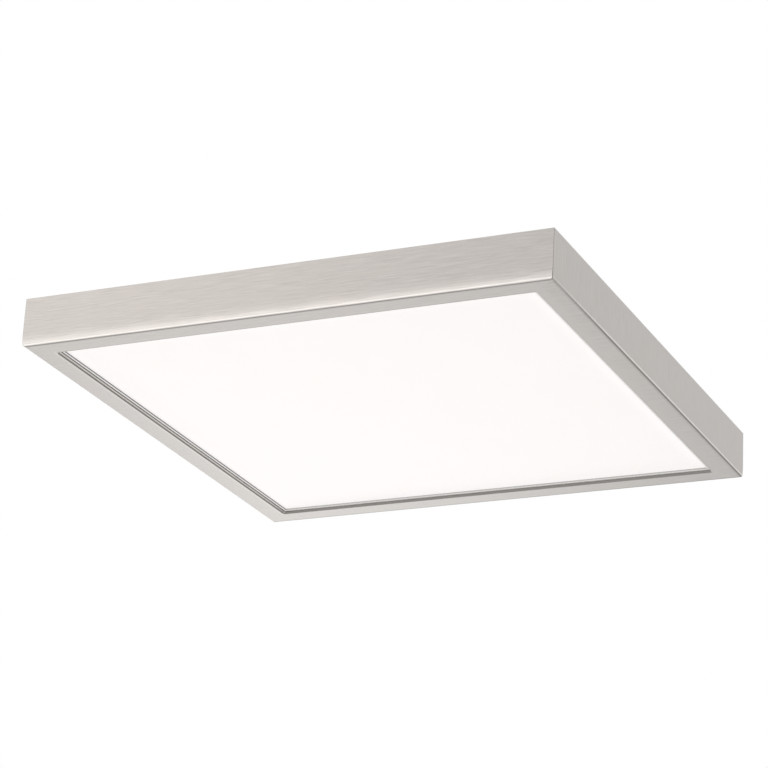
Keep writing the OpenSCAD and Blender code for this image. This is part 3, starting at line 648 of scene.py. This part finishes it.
def frame_coat():
    """Satin white all over. The ledge has a faint painted glow, standing for the light of the
    lens that lies on it. Its inner edge is painted with shade, dark on the left and right and
    grey in front and back, and the left and right ledges are painted dark too where the lip
    shades them."""
    material = surface("satin_white_coat", (0.87, 0.86, 0.85), (0.92, 0.91, 0.90),
                       (0.80, 0.79, 0.77), (0.38, 0.5), size=0.0005)
    tree = material.node_tree
    shader = tree.nodes["Principled BSDF"]
    white = shader.inputs["Base Color"].links[0].from_socket
    where = add(tree, "SeparateXYZ", ("Vector", add(tree, "TexCoord").outputs["Object"]))
    facing = add(tree, "SeparateXYZ", ("Vector", add(tree, "NewGeometry").outputs["Normal"]))
    low = maths(tree, "LESS_THAN", where.outputs["Z"], LEDGE_TOP)
    shade = maths(tree, "GREATER_THAN", maths(tree, "ABSOLUTE", where.outputs["X"]), SHADE_FROM)
    # The underside faces straight down, and the inner edge, painted with shade, is whatever turns
    # away from there
    upright = add(tree, "MapRange", ("Value", facing.outputs["Z"]), ("From Min", -0.95),
                  ("From Max", -0.5))
    painted_shade = maths(tree, "MAXIMUM", shade, upright.outputs["Result"])
    edge = maths(tree, "MULTIPLY", low, painted_shade)
    painted_edge_shade = between(tree, maths(tree, "ABSOLUTE", facing.outputs["Y"]), (0.20, 0.20, 0.20, 1),
                   (0.55, 0.55, 0.54, 1))
    tree.links.new(between(tree, edge, white, painted_edge_shade), shader.inputs["Base Color"])
    # A faint painted glow on the ledge's underside, standing for the lens's light that falls on
    # it
    glow = between(tree, edge, (1.0, 0.98, 0.96, 1), (0, 0, 0, 1))
    tree.links.new(between(tree, low, (0, 0, 0, 1), glow), shader.inputs["Emission Color"])
    shader.inputs["Emission Strength"].default_value = 0.10
    return material


frame_white = frame_coat()
for side in ("front", "back", "left", "right"):
    dress(side + "_frame_rail", "rail_" + side, frame_white, "fixture", "frame_aluminium",
          RAIL_EDGE)


def galvanised_steel():
    """Hot-dip zinc: flat crystals a few millimetres wide, each a little lighter or darker."""
    material, tree, metal = new_material("galvanised_steel")
    where = add(tree, "TexCoord").outputs["Object"]
    marks = place(tree, speckle, ("Vector", where), ("Size", 0.0011))
    bent = add(tree, "TexNoise", ("Vector", where), ("Scale", 160.0), ("Detail", 2.0))
    wander = add(tree, "MixRGB", ("Fac", 0.0035), ("Color1", where), ("Color2", bent.outputs[1]))
    large = add(tree, "TexVoronoi", ("Vector", wander.outputs[0]), ("Scale", 210.0))
    small = add(tree, "TexVoronoi", ("Vector", wander.outputs[0]), ("Scale", 520.0))
    grey = add(tree, "SeparateXYZ", ("Vector", large.outputs["Color"]))
    finer = add(tree, "SeparateXYZ", ("Vector", small.outputs["Color"]))
    mixed = add(tree, "MixRGB", ("Fac", 0.4), ("Color1", grey.outputs[0]),
                ("Color2", finer.outputs[0]))
    tone = between(tree, mixed.outputs[0], (0.43, 0.45, 0.47, 1), (0.60, 0.62, 0.64, 1))
    dusty = between(tree, spread(tree, marks.outputs["Clouds"], 0, 0.25), tone,
                    (0.58, 0.59, 0.60, 1))
    rough = add(tree, "MapRange", ("Value", mixed.outputs[0]), ("To Min", 0.30),
                ("To Max", 0.46))
    height = add(tree, "Bump", ("Height", marks.outputs["Grit"]), ("Strength", 0.2),
                 ("Distance", FINE_DEPTH))
    tree.links.new(dusty, metal.inputs["Base Color"])
    tree.links.new(rough.outputs["Result"], metal.inputs["Roughness"])
    tree.links.new(height.outputs["Normal"], metal.inputs["Normal"])
    metal.inputs["Metallic"].default_value = 1
    return material


galvanised = galvanised_steel()
dress("corner_plates", "corner_brackets", galvanised, "fixture", "zinc_plate", 0.00012)
# Edges up to this length are those round a screw's or rivet's head, and not its drive
ROUND_EDGE = 0.00045
dress("corner_pan_screws", "corner_screws", bright_zinc, "fixture", "zinc_screws", 0.0003, 3,
      ROUND_EDGE)


# Lens
# A flat sheet of opal acrylic, two millimetres thick, which lies on the frame's ledge and glows
# evenly from the light guide above it.
RIM_FROM = 0.160
RIM_TO = 0.1705


def opal_acrylic():
    """Milky, lit from within, and a little brighter along its rim: partly as an edge-lit panel
    glows brighter near its boards, and partly painted light that evens out the lip's shade on it.
    """
    material, tree, acrylic = new_material("opal_acrylic")
    where = add(tree, "TexCoord").outputs["Object"]
    marks = place(tree, speckle, ("Vector", where), ("Size", 0.0011))
    body = between(tree, marks.outputs["Clouds"], (0.43, 0.425, 0.42, 1),
                   (0.47, 0.465, 0.46, 1))
    glow = between(tree, marks.outputs["Clouds"], (0.90, 0.862, 0.853, 1),
                   (0.90, 0.869, 0.861, 1))
    x, y = add(tree, "SeparateXYZ", ("Vector", where)).outputs[:2]
    reach = maths(tree, "MAXIMUM", maths(tree, "ABSOLUTE", x), maths(tree, "ABSOLUTE", y))
    # The rim's extra glow is partly painted light, evening out the shade of the lip
    rim = add(tree, "MapRange", ("Value", reach), ("From Min", RIM_FROM), ("From Max", RIM_TO))
    rim_glow_and_painted_light = between(tree, rim.outputs["Result"], glow, (1.0, 0.960, 0.952, 1))
    height = add(tree, "Bump", ("Height", marks.outputs["Grit"]), ("Strength", 0.05),
                 ("Distance", FINE_DEPTH))
    tree.links.new(body, acrylic.inputs["Base Color"])
    tree.links.new(rim_glow_and_painted_light, acrylic.inputs["Emission Color"])
    tree.links.new(height.outputs["Normal"], acrylic.inputs["Normal"])
    acrylic.inputs["Roughness"].default_value = 0.42
    acrylic.inputs["Emission Strength"].default_value = 0.60
    return material


dress("opal_sheet", "lens", opal_acrylic(), "fixture", "opal_lens", 0.0003, 3)


# Diffuser film, light guide and reflector sheet
# Three loose sheets lie on the lens: a matt film, a clear acrylic guide with a grid of printed
# dots on its back, and a white reflector film.
def guide_acrylic():
    material, tree, acrylic = new_material("dotted_acrylic")
    where = add(tree, "TexCoord").outputs["Object"]
    dots = add(tree, "TexVoronoi", ("Vector", where), ("Scale", 700.0), ("Randomness", 0.0))
    mask = add(tree, "MapRange", ("Value", dots.outputs["Distance"]), ("From Min", 0.22),
               ("From Max", 0.30), ("To Min", 1.0), ("To Max", 0.0))
    tone = between(tree, mask.outputs["Result"], (0.80, 0.87, 0.88, 1), (0.93, 0.93, 0.92, 1))
    haze = add(tree, "MapRange", ("Value", mask.outputs["Result"]), ("To Min", 0.06),
               ("To Max", 0.5))
    tree.links.new(tone, acrylic.inputs["Base Color"])
    tree.links.new(haze.outputs["Result"], acrylic.inputs["Roughness"])
    acrylic.inputs["Transmission Weight"].default_value = 0.9
    acrylic.inputs["IOR"].default_value = 1.49
    return material


film_white = surface("matt_white_film", (0.84, 0.84, 0.84), (0.90, 0.90, 0.90),
                     (0.84, 0.83, 0.81), (0.55, 0.7), size=0.0008, relief=0.03)
dress("matt_film", "diffuser_film", film_white, "fixture", "white_film", 0.00004, 1)
dress("guide_plate", "light_guide", guide_acrylic(), "fixture", "clear_acrylic", 0.0002)
dress("reflector_film", "reflector_sheet", film_white, "fixture", "white_film", 0.00006, 1)


# LED boards
# A narrow aluminium board with white solder mask stands along the left and the right rail, with
# a row of LED packages that shine into the edge of the light guide.
mask_white = surface("white_solder_mask", (0.80, 0.80, 0.78), (0.87, 0.87, 0.85),
                     (0.76, 0.75, 0.70), (0.3, 0.42), size=0.0005, coat=0.2)
phosphor = surface("led_phosphor", (0.80, 0.62, 0.10), (0.90, 0.76, 0.22),
                   (0.85, 0.83, 0.75), (0.25, 0.4), size=0.0002, relief=0.1)
for side in ("left", "right"):
    dress(side + "_board", "led_board_" + side, mask_white, "fixture", "white_board", 0.0001, 1)
    dress(side + "_packages", "leds_" + side, phosphor, "fixture", "led_packages", 0.0002)


# Foam strips
# Four strips of soft black foam, glued under the back cover, press the reflector and the sheets
# below it flat against the lens. Squeezed, their long sides swell a little.
FOAM_L = 0.300
FOAM_W = 0.018
FOAM_SWELL = 0.0009
FOAM_STATIONS = 60
FOAM_LAYERS = 6
# The strip narrows a little towards its cut ends, and its swelling isn't even
FOAM_TAPER = 0.0006
FOAM_TAPER_L = 0.004
RIPPLE = 0.25
SHORT_WAVE = 260
LONG_WAVE = 97
BULGE = 0.7
FOAM_ANGLE = 40


def press_foam():
    """Rings of points along each strip: up its one long side, and down the other."""
    mesh = bmesh.new()
    for x, y, low, high in middles("foam_strips"):
        half_l, half_w = FOAM_L / 2, FOAM_W / 2
        rings = []
        for i in range(FOAM_STATIONS + 1):
            along = -half_l + 2 * half_l * i / FOAM_STATIONS
            end = min(1.0, (half_l - abs(along)) / FOAM_TAPER_L)
            half = half_w - FOAM_SWELL - FOAM_TAPER * (1 - end) ** 2
            ring = []
            for side in (1, -1):
                waves = math.sin(along * SHORT_WAVE + side) * math.sin(along * LONG_WAVE)
                for k in range(FOAM_LAYERS + 1):
                    t = k / FOAM_LAYERS
                    z = low + (high - low) * (t if side > 0 else 1 - t)
                    swell = FOAM_SWELL * (1 + RIPPLE * waves) * math.sin(math.pi * t) ** BULGE
                    ring.append(mesh.verts.new((x + along, y + side * (half + swell), z)))
            rings.append(ring)
        skin(mesh, rings[::-1])
    bmesh.ops.recalc_face_normals(mesh, faces=mesh.faces)
    return smoothed(mesh, FOAM_ANGLE)


black_foam = surface("black_foam", (0.018, 0.018, 0.020), (0.050, 0.050, 0.054),
                     (0.07, 0.07, 0.07), (0.85, 0.98), size=0.0005, relief=0.25)
foam = put("pressed_foam", press_foam(), black_foam, "fixture", "foam", "foam_strips")


# Back cover
# A sheet of mill-finish aluminium with four pressed beads closes the back. It lies on the frame,
# under the stud nuts and eight pan head screws.
def mill_aluminium(name, dark, light, along):
    material, tree, metal = new_material(name)
    where = add(tree, "TexCoord").outputs["Object"]
    turned = add(tree, "Mapping", ("Vector", where), ("Rotation", (0, 0, along)))
    rolled = place(tree, streaks, ("Vector", turned.outputs[0]), ("Length", 0.05),
                   ("Width", 0.0011))
    marks = place(tree, speckle, ("Vector", where), ("Size", 0.0012))
    tone = between(tree, spread(tree, rolled.outputs["Fine"], 0, 1), dark, light)
    dulled = between(tree, spread(tree, marks.outputs["Clouds"], 0, 0.5), tone, dark)
    rough = maths(tree, "ADD", spread(tree, rolled.outputs["Broad"], 0.28, 0.4),
                  marks.outputs["Stains"])
    limited = add(tree, "MapRange", ("Value", rough), ("From Min", 0.28), ("From Max", 1.4),
                  ("To Min", 0.30), ("To Max", 0.46))
    height = add(tree, "Bump", ("Height", rolled.outputs["Fine"]), ("Strength", 0.1),
                 ("Distance", 0.00005))
    tree.links.new(dulled, metal.inputs["Base Color"])
    tree.links.new(limited.outputs["Result"], metal.inputs["Roughness"])
    tree.links.new(height.outputs["Normal"], metal.inputs["Normal"])
    metal.inputs["Metallic"].default_value = 1
    return material


cover_metal = mill_aluminium("mill_aluminium", (0.58, 0.59, 0.60, 1), (0.70, 0.71, 0.72, 1), 0)
dress("cover_sheet", "back_cover", cover_metal, "fixture", "cover_aluminium", 0.0003, 3)
dress("cover_pan_screws", "cover_screws", bright_zinc, "fixture", "zinc_screws", 0.0005, 4,
      ROUND_EDGE)


# Catch brackets
# Four zinc-plated steel angles, each riveted to the back cover with two aluminium rivets. The
# leaf springs of the ceiling plate snap into their windows.
dress("catch_angles", "catch_brackets", galvanised, "fixture", "zinc_plate", 0.00018)
rivet_metal = surface("rivet_aluminium", (0.58, 0.58, 0.59), (0.70, 0.70, 0.71),
                      (0.55, 0.54, 0.52), (0.3, 0.42), metallic=1, size=0.0004)
dress("catch_rivet_heads", "catch_rivets", rivet_metal, "fixture", "rivets", 0.0006, 4,
      ROUND_EDGE)


# Driver
# The constant-current driver: a folded aluminium tray with two ears, screwed to the back cover,
# and a lid. Inside, a green board carries the transformer, the choke, three capacitors, the
# output connector and the push-in supply terminal.
case_metal = mill_aluminium("driver_aluminium", (0.60, 0.61, 0.62, 1), (0.72, 0.73, 0.74, 1),
                            math.radians(90))
# The driver's screws have longer edges round their heads
ROUND_DRIVER_EDGE = 0.00065
dress("driver_lower_case", "driver_tray", case_metal, "fixture", "driver_case", 0.0003)
dress("driver_lid", "driver_cover", case_metal, "fixture", "driver_case", 0.0005, 3)
dress("driver_pan_screws", "driver_screws", bright_zinc, "fixture", "zinc_screws", 0.0005, 4,
      ROUND_DRIVER_EDGE)


def circuit_green():
    material, tree, mask = new_material("green_solder_mask")
    where = add(tree, "TexCoord").outputs["Object"]
    tracks = add(tree, "TexBrick", ("Vector", where), ("Scale", 190.0), ("Mortar Size", 0.06),
                 ("Color1", (0.012, 0.13, 0.05, 1)), ("Color2", (0.016, 0.17, 0.07, 1)),
                 ("Mortar", (0.03, 0.25, 0.11, 1)))
    marks = place(tree, speckle, ("Vector", where), ("Size", 0.0006))
    tone = between(tree, spread(tree, marks.outputs["Grit"], 0, 0.3), tracks.outputs["Color"],
                   (0.02, 0.20, 0.08, 1))
    height = add(tree, "Bump", ("Height", tracks.outputs["Fac"]), ("Strength", 0.2),
                 ("Distance", FINE_DEPTH))
    tree.links.new(tone, mask.inputs["Base Color"])
    tree.links.new(height.outputs["Normal"], mask.inputs["Normal"])
    mask.inputs["Roughness"].default_value = 0.35
    mask.inputs["Coat Weight"].default_value = 0.3
    return material


CHOKE_TURNS = 34


def wound_copper():
    """Turns of wire round a ring core: ridges that run out from the core's own axis."""
    x, y, low, high = middles("driver_choke")[0]
    material, tree, copper = new_material("wound_copper")
    where = add(tree, "TexCoord").outputs["Object"]
    off = add(tree, "VectorMath", (0, where), (1, (-x, -y, 0)), operation="ADD")
    apart = add(tree, "SeparateXYZ", ("Vector", off.outputs[0]))
    turn = maths(tree, "ARCTAN2", apart.outputs["Y"], apart.outputs["X"])
    ridge = maths(tree, "SINE", maths(tree, "MULTIPLY", turn, CHOKE_TURNS))
    level = add(tree, "MapRange", ("Value", ridge), ("From Min", -1.0))
    tone = between(tree, level.outputs["Result"], (0.20, 0.06, 0.02, 1), (0.62, 0.27, 0.12, 1))
    height = add(tree, "Bump", ("Height", level.outputs["Result"]), ("Strength", 0.8),
                 ("Distance", 0.0003))
    tree.links.new(tone, copper.inputs["Base Color"])
    tree.links.new(height.outputs["Normal"], copper.inputs["Normal"])
    copper.inputs["Metallic"].default_value = 1
    copper.inputs["Roughness"].default_value = 0.28
    copper.inputs["Coat Weight"].default_value = 0.5
    return material


dress("circuit_board", "driver_board", circuit_green(), "fixture", "circuit_board", 0.0001, 1)
tape = surface("yellow_tape", (0.72, 0.48, 0.05), (0.84, 0.62, 0.10), (0.66, 0.42, 0.05),
               (0.2, 0.35), size=0.0005, coat=0.2)
dress("taped_transformer", "driver_transformer", tape, "fixture", "transformer_tape", 0.0005, 3)
# Edges up to this length run round the choke and the cans, and not up their sides
ROUND_CAN_EDGE = 0.0012
dress("ring_choke", "driver_choke", wound_copper(), "fixture", "copper_winding", 0.0012, 5,
      ROUND_CAN_EDGE)
sleeve = surface("shrunk_sleeve", (0.018, 0.020, 0.050), (0.030, 0.034, 0.075),
                 (0.05, 0.05, 0.08), (0.15, 0.28), size=0.0006, coat=0.3)
dress("can_capacitors", "driver_capacitors", sleeve, "fixture", "capacitor_sleeve", 0.0008, 4,
      ROUND_CAN_EDGE)
nylon = surface("white_nylon", (0.70, 0.70, 0.68), (0.79, 0.79, 0.77), (0.68, 0.67, 0.62),
                (0.4, 0.52), size=0.0005)
dress("lead_connector", "output_connector", nylon, "fixture", "white_plastic", 0.0003)
grey_nylon = surface("grey_nylon", (0.24, 0.25, 0.26), (0.31, 0.32, 0.33),
                     (0.35, 0.36, 0.36), (0.4, 0.52), size=0.0005)
dress("push_in_terminal", "supply_terminal", grey_nylon, "fixture", "grey_plastic", 0.0003)


# Leads
# Two pairs of red and black stranded leads run from the driver to the LED boards. They lie on
# the back cover under nylon clips, and pass down through it in rubber grommets.
LEAD_R = 0.0009
LEAD_TURN = 0.0065
HALF_GAP = 0.0012
DRIVER_Y = 0.062
DRIVER_END = 0.060
BACK_Y = 0.0936
SIDE_X = 0.152
GROMMET_X = 0.172
BOARD_X = 0.1805
# Heights of the leads: out of the driver, on the cover, over a grommet's rim, and at a board
OUT_Z = -0.0130
LIE_Z = -0.0203
HOP_Z = -0.0196
LOW_Z = -0.0244
# How far inside the driver each lead starts, how far out the right one bends down and lies, and
# where the left one turns off, both along the driver and behind it
LEAD_IN = 0.0024
RIGHT_OUT = 0.0055
RIGHT_LIE = 0.017
LEFT_OUT = 0.018
LEFT_DOWN = 0.011
LEFT_LIE = 0.020
# How far before a grommet's middle a lead rises off the cover, and is up on the rim
HOP_START = 0.0164
HOP_END = 0.0074
LEAD_STEPS = 10
LEAD_ANGLE = 50
# How much of a short run the rounding of one corner may take
SHORT_RUN = 0.48


def rounded_route(corners, r, steps):
    """Rounds each corner from a distance r before it, or less where the run is short."""
    points = [corners[0]]
    for before, corner, after in zip(corners, corners[1:], corners[2:]):
        cut = min(r, SHORT_RUN * min((before - corner).length, (after - corner).length))
        start = corner + cut * (before - corner).normalized()
        end = corner + cut * (after - corner).normalized()
        for i in range(steps + 1):
            t = i / steps
            points.append((1 - t) ** 2 * start + 2 * t * (1 - t) * corner + t * t * end)
    return points + [corners[-1]]


def run_tube(mesh, points, r, sides=14):
    across = Vector((0, 0, 1))
    rings = []
    for i, point in enumerate(points):
        ahead = (points[min(i + 1, len(points) - 1)] - points[max(i - 1, 0)]).normalized()
        across = (across - across.dot(ahead) * ahead).normalized()
        other = ahead.cross(across)
        turns = [2 * math.pi * k / sides for k in range(sides)]
        rings.append([mesh.verts.new(point + r * (math.cos(t) * across + math.sin(t) * other))
                      for t in turns])
    skin(mesh, rings)


def run_leads(shift):
    """The lead to the right board, and the one that goes round behind to the left board."""
    mesh = bmesh.new()
    y, low, high = DRIVER_Y + shift, OUT_Z - HALF_GAP, OUT_Z + HALF_GAP
    start = DRIVER_END - LEAD_IN
    right = [(start, y, low), (DRIVER_END + RIGHT_OUT, y, low),
             (DRIVER_END + RIGHT_LIE, y, LIE_Z), (GROMMET_X - HOP_START, y, LIE_Z),
             (GROMMET_X - HOP_END, y, HOP_Z), (GROMMET_X, y, HOP_Z), (GROMMET_X, y, LOW_Z),
             (BOARD_X, y, LOW_Z)]
    out_x, back_y = DRIVER_END + LEFT_OUT - shift, BACK_Y - shift
    side_x, in_y = -SIDE_X + shift, DRIVER_Y - shift
    left = [(start, y, high), (out_x, y, high), (out_x, DRIVER_Y + LEFT_DOWN, high),
            (out_x, DRIVER_Y + LEFT_LIE, LIE_Z), (out_x, back_y, LIE_Z), (side_x, back_y, LIE_Z),
            (side_x, in_y, LIE_Z), (-GROMMET_X + HOP_END, in_y, HOP_Z),
            (-GROMMET_X, in_y, HOP_Z), (-GROMMET_X, in_y, LOW_Z), (-BOARD_X, in_y, LOW_Z)]
    for corners in (right, left):
        route = rounded_route([Vector(p) for p in corners], LEAD_TURN, LEAD_STEPS)
        run_tube(mesh, route, LEAD_R)
    bmesh.ops.recalc_face_normals(mesh, faces=mesh.faces)
    return smoothed(mesh, LEAD_ANGLE)


red_pvc = surface("red_insulation", (0.42, 0.012, 0.010), (0.56, 0.022, 0.018),
                  (0.36, 0.03, 0.03), (0.28, 0.4), size=0.0005, coat=0.15)
black_pvc = surface("black_insulation", (0.012, 0.012, 0.013), (0.026, 0.026, 0.028),
                    (0.05, 0.05, 0.05), (0.28, 0.42), size=0.0005, coat=0.15)
put("red_lead_pair", run_leads(-HALF_GAP), red_pvc, "fixture", "red_insulation", "red_leads")
put("black_lead_pair", run_leads(HALF_GAP), black_pvc, "fixture", "black_insulation",
    "black_leads")
rubber = surface("black_rubber", (0.016, 0.016, 0.017), (0.034, 0.034, 0.036),
                 (0.06, 0.06, 0.06), (0.55, 0.7), size=0.0005, relief=0.1)
dress("rubber_grommets", "lead_grommets", rubber, "fixture", "black_plastic", 0.00025, 3)
dress("nylon_clips", "lead_clips", nylon, "fixture", "white_plastic", 0.0003, 3)


# Ceiling plate
# A pressed sheet of galvanised steel, screwed up to the outlet box through its two slots or to
# the ceiling through its corner holes. A plastic bush lines the wire hole, and a green hex
# screw takes the ground wire.
BOX_THREAD_R = 0.00208
BOX_THREAD_PITCH = 0.000794
# The plain shank goes down to here, and the thread that replaces it reaches a little lower
SHANK_FOOT = -0.0003
THREAD_FOOT = -0.0009
BOX_HEAD_EDGE = 0.0006
dress("pressed_plate", "mounting_plate", galvanised, "ceiling_plate", "zinc_plate", 0.00025, 3)
dress("wire_bush", "wire_bushing", rubber, "ceiling_plate", "black_plastic", 0.0003, 3)


def thread_box_screws():
    """The CAD's heads and necks, with a real thread in place of the plain shank."""
    mesh = cad_mesh("outlet_box_screws")
    shank = [v for v in mesh.verts if v.co.z > SHANK_FOOT]
    bmesh.ops.delete(mesh, geom=shank, context="VERTS")
    open_edges = [edge for edge in mesh.edges if edge.is_boundary]
    bmesh.ops.holes_fill(mesh, edges=open_edges)
    mesh = eased(mesh, 0.0008, 4, BOX_HEAD_EDGE)
    for x, y, low, high in middles("outlet_box_screws"):
        threaded_rod(mesh, x, y, THREAD_FOOT, high, BOX_THREAD_R, BOX_THREAD_PITCH)
    return smoothed(mesh, THREAD_ANGLE)


put("box_screws", thread_box_screws(), bright_zinc, "ceiling_plate", "zinc_screws",
    "outlet_box_screws")
green_paint = surface("green_ground_finish", (0.014, 0.16, 0.05), (0.03, 0.26, 0.09),
                      (0.20, 0.24, 0.18), (0.25, 0.4), metallic=0.3, size=0.0003, coat=0.4)
dress("ground_hex_screw", "ground_screw", green_paint, "ceiling_plate", "green_screw", 0.0002)


# Leaf springs
# Four V-shaped strips of blue-tempered spring steel, each riveted outside a flange of the plate.
# They snap into the windows of the catch brackets and let go when the fixture is pulled down.
PLATE_HALF = 0.100
SPRING_T = 0.0005
SPRING_W = 0.020
SPRING_BENDS = [(0.00025, -0.0026), (0.00025, -0.0104), (0.0065, -0.0152), (0.0012, -0.0192)]
SPRING_BEND_R = 0.0011
SPRING_STEPS = 8
SPRING_EDGE = 0.00008
SPRING_ANGLE = 60


def bend_springs():
    mesh = bmesh.new()
    path = rounded_route([Vector((out, z, 0)) for out, z in SPRING_BENDS], SPRING_BEND_R,
                         SPRING_STEPS)
    for turn in range(4):
        spin = Matrix.Rotation(math.radians(90 * turn), 3, "Z")
        rings = []
        for i, point in enumerate(path):
            ahead = (path[min(i + 1, len(path) - 1)] - path[max(i - 1, 0)]).normalized()
            side = Vector((-ahead.y, ahead.x, 0)) * SPRING_T / 2
            ring = []
            for out, y in ((1, -1), (1, 1), (-1, 1), (-1, -1)):
                at = point + out * side
                ring.append(mesh.verts.new(spin @ Vector(
                    (PLATE_HALF + at.x, y * SPRING_W / 2, at.y))))
            rings.append(ring)
        skin(mesh, rings)
    bmesh.ops.recalc_face_normals(mesh, faces=mesh.faces)
    return eased(mesh, SPRING_EDGE, angle=SPRING_ANGLE)


blue_steel = surface("blue_tempered_steel", (0.13, 0.14, 0.19), (0.22, 0.24, 0.32),
                     (0.24, 0.20, 0.17), (0.2, 0.34), metallic=1, size=0.0006)
put("tempered_springs", bend_springs(), blue_steel, "ceiling_plate", "spring_steel",
    "leaf_springs")
dress("spring_rivet_heads", "spring_rivets", rivet_metal, "ceiling_plate", "rivets", 0.0006, 4,
      ROUND_EDGE)
